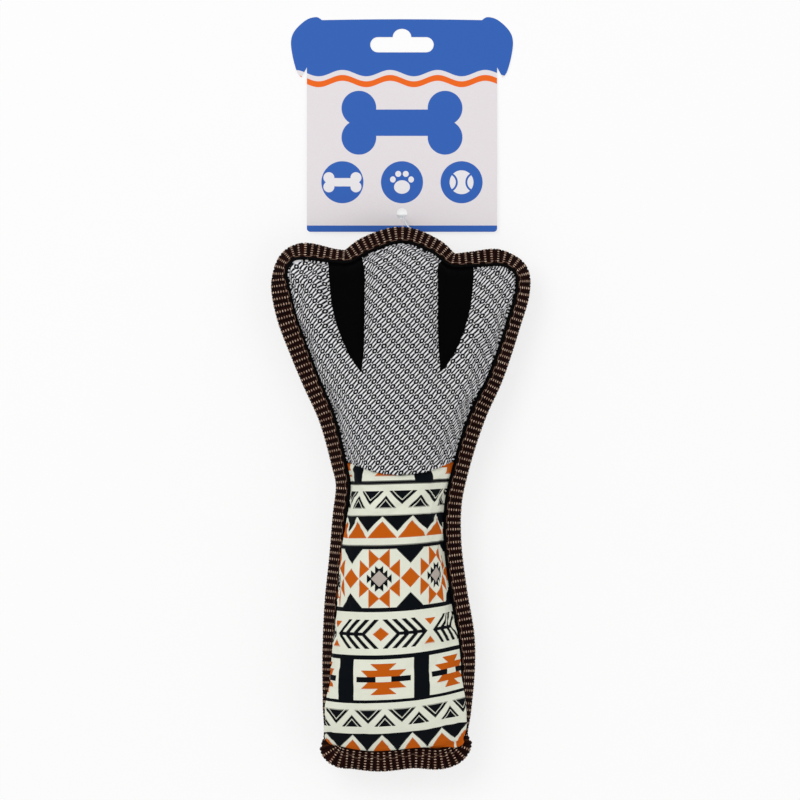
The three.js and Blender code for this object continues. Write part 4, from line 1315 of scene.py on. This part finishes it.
def printed_cloth():
    material, shader, start = new_material("printed_cloth", roughness=0.85, specular_ior_level=0.06)
    across, down, place = pattern_axes(start)
    rows = down.maths("SNAP", down, CANVAS_RIB) + CANVAS_RIB / 2
    v = rows.maths("FLOORED_MODULO", rows + ABOVE_FIRST, REPEAT) - ABOVE_FIRST
    u = across + ((rows / CANVAS_RIB).near(2.0) - 0.5) * COMB
    black = abs(v).within(FIRST_LINE_HALF) | triangle_band(u, v)
    for first, last in BAND_LINES:
        black = black | v.between(first, last)
    black_star, orange, grey = star_band(u, v)
    black = black | black_star
    for band in (peak_band, arrow_band, block_band):
        more_black, more_orange = band(u, v)
        black, orange = black | more_black, orange | more_orange
    fibre, patch = place.noise(1.6, 3.0), place.noise(0.06, 2.0)
    rib = down.near(CANVAS_RIB) / (CANVAS_RIB / 2)
    yarn = across.near(CANVAS_YARN) / (CANVAS_YARN / 2)
    colour = grey.mix(orange.mix(black.mix(CREAM, INK), ORANGE), GREY)
    # The two noises are the cloth's own uneven tone. The rib term is painted shade: darker in the
    # grooves between the ribs, lighter on their crests.
    shade = 0.80 + fibre * 0.16 + patch * 0.14 + rib * 0.04
    dark = shade.node("CombineColor", None, {0: shade, 1: shade, 2: shade})
    colour = shade.node("Mix", {"data_type": "RGBA", "blend_type": "MULTIPLY"},
                        {"Factor": 1.0, MIX_A: colour, MIX_B: dark}, out=MIX_COLOUR)
    height = rib * 0.05 + yarn * 0.015 + fibre * 0.04
    rough = 0.80 + fibre * 0.12 - black * 0.12
    return feed(material, shader, colour, rough, height)


keep("print", printed_cloth())

# %% [markdown]
# ## The jacquard mesh of the foot
# The foot is a thick two-tone jacquard: small black rings on a slanted lattice, joined by slanted
# black stitches on a white ground. The lattice's two steps turn the place on the cloth into lattice
# numbers, whose fractions say where a point lies round its own ring, and whose sums give the
# slanted stitches.

# %% Jacquard mesh
RING_STEP = 7.07
CHAIN_STEP = (2.32, 2.52)
RING_RADIUS = 0.87
RING_LINE = 0.46
STITCH_SHARE = 0.25
STITCH_CLEAR = 1.42
LATTICE_LEFT, LATTICE_TOP = -7.6, 106.8
WANDER = 0.6
RING_SLANT, RING_SQUASH = 0.32, 0.86


def jacquard_mesh():
    material, shader, start = new_material("jacquard_mesh", roughness=0.75, specular_ior_level=0.06)
    across, up, place = pattern_axes(start)
    across = across + (place.noise(0.2, 1.0) - 0.5) * WANDER
    j = (LATTICE_TOP - up) / CHAIN_STEP[1]
    i = (across - LATTICE_LEFT - j * CHAIN_STEP[0]) / RING_STEP
    i_part, j_part = (n - n.maths("ROUND", n) for n in (i, j))
    x, y = i_part * RING_STEP + j_part * CHAIN_STEP[0], j_part * -CHAIN_STEP[1]
    slanted = x - y * RING_SLANT
    reach = slanted.maths("SQRT", slanted * slanted + y * y * RING_SQUASH)
    ring = abs(reach - RING_RADIUS).within(RING_LINE, 0.14)
    twill = (i * 3 + j * 2).near(1.0).within(STITCH_SHARE, 0.1)
    stitch = twill & reach.beyond(STITCH_CLEAR) & abs(i_part).beyond(0.04, 0.04)
    black = ring | stitch
    fibre = place.noise(2.4, 2.0)
    ground = (fibre * 0.6 + place.noise(0.05, 1.0) * 0.4).mix(paint("cccbd1"), paint("ffffff"))
    colour = (black * 0.99).mix(ground, paint("08080b"))
    height = ring * 0.12 - stitch * 0.10 + fibre * 0.04
    return feed(material, shader, colour, 0.7 + fibre * 0.2, height)


keep("jacquard", jacquard_mesh())

# %% [markdown]
# ## Black cloth, lining, fibre and plastics
# The toe gaps are a dense black cloth that takes the light only on its rolled edges. The lining,
# the fibre, the squeaker's plastics and the pin's nylon are plain, but each still has its own
# grain.

# %% Plain cloths and plastics
OBJECT_PLACE = 3  # the Texture Coordinate node's Object output


def woven(name, low, high, pitch, depth, **constants):
    """A plain weave from two crossing threads, read from the piece's own pattern coordinates."""
    material, shader, start = new_material(name, **constants)
    across, up, place = pattern_axes(start)
    warp, weft = (axis.near(pitch) / (pitch / 2) for axis in (across, up))
    fibre = place.noise(0.9 / pitch, 3.0)
    cover = (warp | weft) * 0.5 + fibre * 0.5
    colour = cover.mix(paint(low), paint(high))
    return feed(material, shader, colour, 0.75 + fibre * 0.2, cover * -depth)


def grained(name, low, high, scale, depth, rough, **constants):
    """A moulded or fibrous finish: a fine noise over the object's own coordinates."""
    material, shader, start = new_material(name, **constants)
    grain = start.node("TexCoord", out=OBJECT_PLACE).noise(scale, 4.0)
    colour = grain.mix(paint(low), paint(high))
    return feed(material, shader, colour, rough + grain * 0.15, grain * depth)


keep("gap", woven("black_cloth", "010102", "050506", 0.6, 0.08, specular_ior_level=0.03))
keep("lining", woven("lining_cloth", "c9c6bd", "efece4", 0.8, 0.06))
keep("fibre", grained("filling_fibre", "e6e6e2", "fafaf8", 900, 0.4, 0.8, sheen_weight=0.3))
keep("bulb", grained("bulb_plastic", "e3e3df", "f3f3f0", 300, 0.02, 0.3, subsurface_weight=0.15))
keep("reed", grained("reed_plastic", "d8dbe0", "eceff2", 500, 0.02, 0.25))
keep("nylon", grained("clear_nylon", "e2e4e6", "f6f7f8", 700, 0.01, 0.28, subsurface_weight=0.1))

# %% [markdown]
# ## Webbing, ribs and thread
# The tape is a dark brown, almost black webbing with a plain black margin beside the cover. In the
# grooves between its pairs of ribs the tan warp shows through. The stitches are tan, each a little
# lighter or darker than the next.

# %% Webbing
TAPE_BROWN = ("0d0302", "220a05")
GROOVE = 0.45
WARP_YARN, WEFT_YARN = 0.7, 0.55


def webbing(name, margin):
    """The tape's base: brown, tan in its grooves, and black up to its margin's width."""
    material, shader, start = new_material(name, roughness=0.8, specular_ior_level=0.06)
    along, out, place = pattern_axes(start)
    fibre = place.noise(1.8, 3.0)
    groove = along.near(PAIR_PITCH).within(GROOVE, 0.4)
    brown = fibre.mix(*map(paint, TAPE_BROWN))
    colour = (groove * (0.35 + fibre * 0.4)).mix(brown, paint("5c3018"))
    colour = out.within(margin, 0.25).mix(colour, paint("060506"))
    warp = out.near(WARP_YARN) / (WARP_YARN / 2)
    weft = along.near(WEFT_YARN) / (WEFT_YARN / 2)
    height = warp * 0.06 + weft * 0.04 + fibre * 0.05
    return feed(material, shader, colour, 0.7 + fibre * 0.2, height)


def thread(name, codes, scale, depth, **constants):
    """Thread or rib: a colour between two for each part, and a fine twist."""
    material, shader, start = new_material(name, **constants)
    part = start.node("Attribute", {"attribute_name": "shade"}, out=2)
    fibre = start.node("TexCoord", out=OBJECT_PLACE).noise(scale, 3.0)
    tone = part * 0.6 + fibre * 0.5
    colour = tone.mix(*map(paint, codes))
    return feed(material, shader, colour, 0.6 + fibre * 0.3, fibre * depth)


keep("edge", webbing("edge_webbing", margin=1.8))
keep("bottom", webbing("bottom_webbing", margin=0.5))
keep("rib", thread("rib_yarn", TAPE_BROWN, 2600, 0.16, specular_ior_level=0.06))
for key, codes in (("tan", ("7e5a48", "e6cfba")), ("meander", ("40281a", "947460"))):
    keep(key, thread(f"{key}_thread", codes, 3000, 0.05, specular_ior_level=0.2))

# %% [markdown]
# ## The ribs, dashes and threads on both tapes
# With their materials ready, the three trees run for each tape. Two ribs stand close together
# between each pair of stitch rows, and each row starts a little in from the tape's edge, on the
# front and on the back.

# %% Ribs, dashes and the stepped thread
RIB_SPREAD = 0.66
RIB_WIDTH = 1.4
RIB_HEIGHT = 0.85
DASH_PITCH = 1.37
DASH_LENGTH = 1.45
DASH_WIDTH = 0.5
DASH_START = 0.8
DASH_LIFT = 0.3
THREAD_RADIUS = 0.15
THREAD_STEP = 0.5
THREAD_LIFT = 2.95
# For each tape, where its front and its back start from the seam, and where the threads lie.
EDGE_STARTS, EDGE_THREADS = (1.6, 3.3), (2.0, 3.8)
BOTTOM_STARTS, BOTTOM_THREADS = (0.8, 2.5), (4.2, 4.6)


def section_path(width, front_start, back_start, lift):
    """The folded tape's outer line between two places, raised, as points across the fin."""
    outline = tape_section(0.0, width)
    slope = np.gradient(outline, axis=0)
    normal = np.column_stack([-slope[:, 1], slope[:, 0]])
    outline = outline + normal / np.linalg.norm(normal, axis=1, keepdims=True) * lift
    half = len(outline) // 2
    parts = []
    for part, start in ((outline[:half], front_start), (outline[half:][::-1], back_start)):
        above = np.interp(start, part[:, 0], part[:, 1])
        parts.append(np.concatenate([[(start, above)], part[part[:, 0] > start + 0.2]]))
    path = np.concatenate([parts[0], parts[1][::-1]])
    return np.column_stack([np.zeros(len(path)), path])


def stepped_thread(stations, middle, side):
    """The tan thread that links the rows of dashes two by two, stepping in and out."""
    rows = np.repeat(stations, 2)
    out = middle + THREAD_STEP * np.resize([1, -1, -1, 1], len(rows))
    return fin_point(rows, out, np.full(len(rows), THREAD_LIFT * side))


def dress_tape(kind, run, width, front_start, back_start, thread_outs):
    """Everything that lies on one tape, given where its front and back start from the seam."""
    rows = pair_stations(run)
    dash_path = section_path(width, front_start + DASH_START, back_start + DASH_START, DASH_LIFT)
    dashes = round(lengths_along(dash_path)[-1] / DASH_PITCH) + 1
    step = 1 / (len(rows) - 1)
    pairs = (np.arange(len(rows) - 1) + 0.5) * step
    places = np.linspace(0, 1, len(rows))
    spread = RIB_SPREAD / PAIR_PITCH * step
    ribs = np.interp(np.sort(np.concatenate([pairs - spread, pairs + spread])), places, rows)
    made = [
        grown(f"{kind}_tape_ribs", "ribs", seam_marks("marks", ribs), MATERIALS["rib"],
              line_object("path", section_path(width, front_start, back_start, 0.0)),
              rib_width=RIB_WIDTH * MM, rib_height=RIB_HEIGHT * MM),
        grown(f"{kind}_tape_dashes", "dashes", seam_marks("marks", rows[1:-1]), MATERIALS["tan"],
              line_object("path", dash_path),
              count=dashes, dash_length=DASH_LENGTH * MM, dash_width=DASH_WIDTH * MM),
    ]
    for (face, side), out in zip(HALVES, thread_outs):
        line = line_object("line", stepped_thread(rows[1:-1], out, side))
        made.append(grown(f"{kind}_tape_thread_{face}", "thread", line, MATERIALS["meander"],
                          thread_radius=THREAD_RADIUS * MM))
    print(kind, "tape:", len(ribs), "ribs,", len(rows) - 2, "rows of", dashes, "dashes")
    return made


edge_dress = dress_tape("edge", EDGE_RUN, TAPE_WIDTH, *EDGE_STARTS, EDGE_THREADS)
bottom_dress = dress_tape("bottom", BOTTOM_RUN, BOTTOM_WIDTH, *BOTTOM_STARTS, BOTTOM_THREADS)

# %% [markdown]
# ## The printed card
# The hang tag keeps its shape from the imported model. Its print is generic: a blue head with a wavy
# lower edge, an orange line that follows it, a blue bone, three discs with a bone, a paw and a
# ball, and a thin blue foot. The cut edges show the pale core of the board.

# %% The card's print
CARD_MIDDLE = 1.0
CARD_FOOT = 134.4
HEAD_LINE, HEAD_WAVE, WAVE_LENGTH = 80.0, 1.6, 24.0
ORANGE_LINE = (74.5, 77.5)
FOOT_STRIP = 3.2
BONE_HEIGHT = 55.0
DISC_HEIGHT, DISC_PITCH, DISC_RADIUS = 25.0, 30.0, 10.6
DISCS_HALF = 44.0
KNOB_OUT, KNOB_UP, KNOB_RADIUS, BAR_HALF = 3.1, 1.05, 1.25, 0.95
PAPER_NORMAL = 1  # the Geometry node's Normal output


def card_board():
    material, shader, start = new_material("printed_card", roughness=0.5, specular_ior_level=0.12)
    where = start.node("TexCoord", out=OBJECT_PLACE)
    x, y = where.axis(0) / MM - CARD_MIDDLE, where.axis(1) / MM - CARD_FOOT
    up = where.node("NewGeometry", out=PAPER_NORMAL).axis(2)

    def reach(a, b):
        return a.maths("SQRT", a * a + b * b)

    def bone(across, high, size):
        """Two knobs at each end of a bar, folded into one by both symmetries."""
        across, high = abs(across), abs(high)
        knobs = reach(across - KNOB_OUT * size, high - KNOB_UP * size).within(KNOB_RADIUS * size)
        return knobs | (across.within(KNOB_OUT * size) & high.within(BAR_HALF * size))

    wave = y + x.maths("SINE", x * (2 * math.pi / WAVE_LENGTH)) * HEAD_WAVE
    blue = wave.beyond(HEAD_LINE) | y.within(FOOT_STRIP) | bone(x, y - BONE_HEIGHT, 7.0)
    orange = wave.between(*ORANGE_LINE)
    side, high = abs(x), y - DISC_HEIGHT
    on_discs = side.within(DISCS_HALF)
    discs = reach(x.near(DISC_PITCH), high).within(DISC_RADIUS) & on_discs
    toes = reach(side - 1.9, high - 4.2).within(1.5)
    outer_toes = reach(side - 4.6, (high - 1.4) * 0.9).within(1.4)
    paw = toes | outer_toes | reach(x * 0.85, high + 2.4).within(3.4)
    right, left = x - DISC_PITCH, x + DISC_PITCH
    seams = abs(reach(abs(right) - 7.0, high) - 4.6)
    ball = reach(right, high).within(6.0) & seams.beyond(0.5)
    white = (bone(left, high, 2.2) | paw | ball) & on_discs
    fibre = where.noise(1800.0, 3.0)
    board = fibre.mix(paint("e4dee1"), paint("eee8eb"))
    colour = (blue | discs).mix(board, paint("3464b9"))
    colour = orange.mix(colour, paint("f26a1b"))
    colour = (white & discs).mix(colour, paint("eeebee"))
    colour = up.beyond(0.6, 0.2).mix(board, colour)
    ink = blue | orange | discs
    return feed(material, shader, colour, 0.5 - ink * 0.1 + fibre * 0.08, fibre * 0.015)


keep("card", card_board())

# %% [markdown]
# ## Finishes, bodies and what each piece stands for
# Each new piece gets its material, rides on the toy's body, and takes the place of its plain solid
# from the imported model. The squeaker, the pin and the card keep their shape from the imported
# model and only get better materials.

# %% Materials on every piece
def dress(piece, material):
    """One material on all of a piece."""
    piece.data.materials.clear()
    piece.data.materials.append(MATERIALS[material])
    faces = piece.data.polygons
    faces.foreach_set("material_index", np.zeros(len(faces), np.int32))


NEW_PIECES = []
for face, _ in HALVES:
    cover, gaps = feet[face]
    NEW_PIECES += [(cover, "jacquard", "mesh_fabric", f"{face}_foot_mesh"),
                   (gaps[0], "gap", "black_fabric", f"{face}_toe_gap_left"),
                   (gaps[1], "gap", "black_fabric", f"{face}_toe_gap_right"),
                   (legs[face], "print", "printed_fabric", f"{face}_leg_print"),
                   (linings[face], "lining", "lining_fabric", f"{face}_lining")]
NEW_PIECES += [(fillings[FOOT], "fibre", "fibre_filling", "foot_filling"),
               (fillings[LEG], "fibre", "fibre_filling", "leg_filling"),
               (edge_tape, "edge", "webbing", "edge_binding"),
               (bottom_tape, "bottom", "webbing", "bottom_binding")]
for made, node in ((edge_dress, "edge_binding"), (bottom_dress, "bottom_binding")):
    for piece, material in zip(made, ("rib", "tan", "meander", "meander")):
        NEW_PIECES.append((piece, material, "webbing", node))
for piece, material, slot, node in NEW_PIECES:
    dress(piece, material)
    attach(piece, "toy")
    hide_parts(node)
KEPT_NODES = {"squeaker_bulb": "bulb", "squeaker_plug": "reed", "squeaker_reed": "reed",
              "tag_pin_cross_bar": "nylon", "tag_pin_filament": "nylon", "tag_card": "card"}
for node, material in KEPT_NODES.items():
    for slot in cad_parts[node].material_slots:
        slot.material = MATERIALS[material]
face_count = sum(len(piece.data.polygons) for piece, *_ in NEW_PIECES)
print(len(NEW_PIECES), "new pieces:", face_count, "faces")

# %% [markdown]
# ## Floor and light
# The photograph has a plain white ground and soft, even light. The floor is a pale sheet that the
# camera sees almost white and that still keeps the toy's shadow. One large lamp overhead and to the
# left gives the swelling its shape, and an even sky fills the rest, at a level where a colour
# renders as it is written.

# %% Floor and lamps
FLOOR_HALF = 4.0
FLOOR_GLOW = 0.72
SKY_STRENGTH = 0.62
WHITE = (1.0, 1.0, 1.0, 1.0)
LAMP_AIM = Vector((0.0, 0.03, 0.0))
floor_mesh = bpy.data.meshes.new("floor")
corners = [(-FLOOR_HALF, -FLOOR_HALF, 0), (FLOOR_HALF, -FLOOR_HALF, 0),
           (FLOOR_HALF, FLOOR_HALF, 0), (-FLOOR_HALF, FLOOR_HALF, 0)]
floor_mesh.from_pydata(corners, [], [(0, 1, 2, 3)])
floor = new_object("floor", floor_mesh)


def pale_floor():
    """Plain pale paint, which glows a little for the camera alone."""
    material, shader, start = new_material("pale_floor", roughness=0.9, specular_ior_level=0.1)
    shader.inputs["Base Color"].default_value = paint("fafafa")
    seen = start.node("LightPath", out=0)
    glow = start.node("Emission", None, {"Color": WHITE, "Strength": 1.0})
    plain = Value(material.node_tree, shader.outputs[0])
    both = seen.node("MixShader", None, {0: seen * FLOOR_GLOW, 1: plain, 2: glow})
    output = material.node_tree.nodes["Material Output"]
    material.node_tree.links.new(both.socket, output.inputs["Surface"])
    return material


floor_mesh.materials.append(pale_floor())
world = bpy.data.worlds.new("sky")
world.use_nodes = True
scene.world = world
sky = world.node_tree.nodes["Background"]
sky.inputs["Color"].default_value = WHITE
sky.inputs["Strength"].default_value = SKY_STRENGTH


def lamp(name, place, power, size):
    """A square lamp aimed at the toy: watts, and metres across."""
    data = bpy.data.lights.new(name, "AREA")
    data.energy = power
    data.size = size
    light = new_object(name, data)
    light.location = place
    aim = LAMP_AIM - Vector(place)
    light.rotation_euler = aim.to_track_quat("-Z", "Y").to_euler()
    return light


LAMPS = [lamp("key", (-0.8, 0.9, 1.9), 16.0, 1.2), lamp("fill", (1.3, -0.6, 1.7), 6.0, 1.4)]
print("floor and", len(LAMPS), "lamps; sky", SKY_STRENGTH)

# %% [markdown]
# ## The end
# The view layer is brought up to date. The finished looks must stay inside the box of the
# imported model, but for what cloth may stand proud.

# %% Finish
bpy.context.view_layer.update()
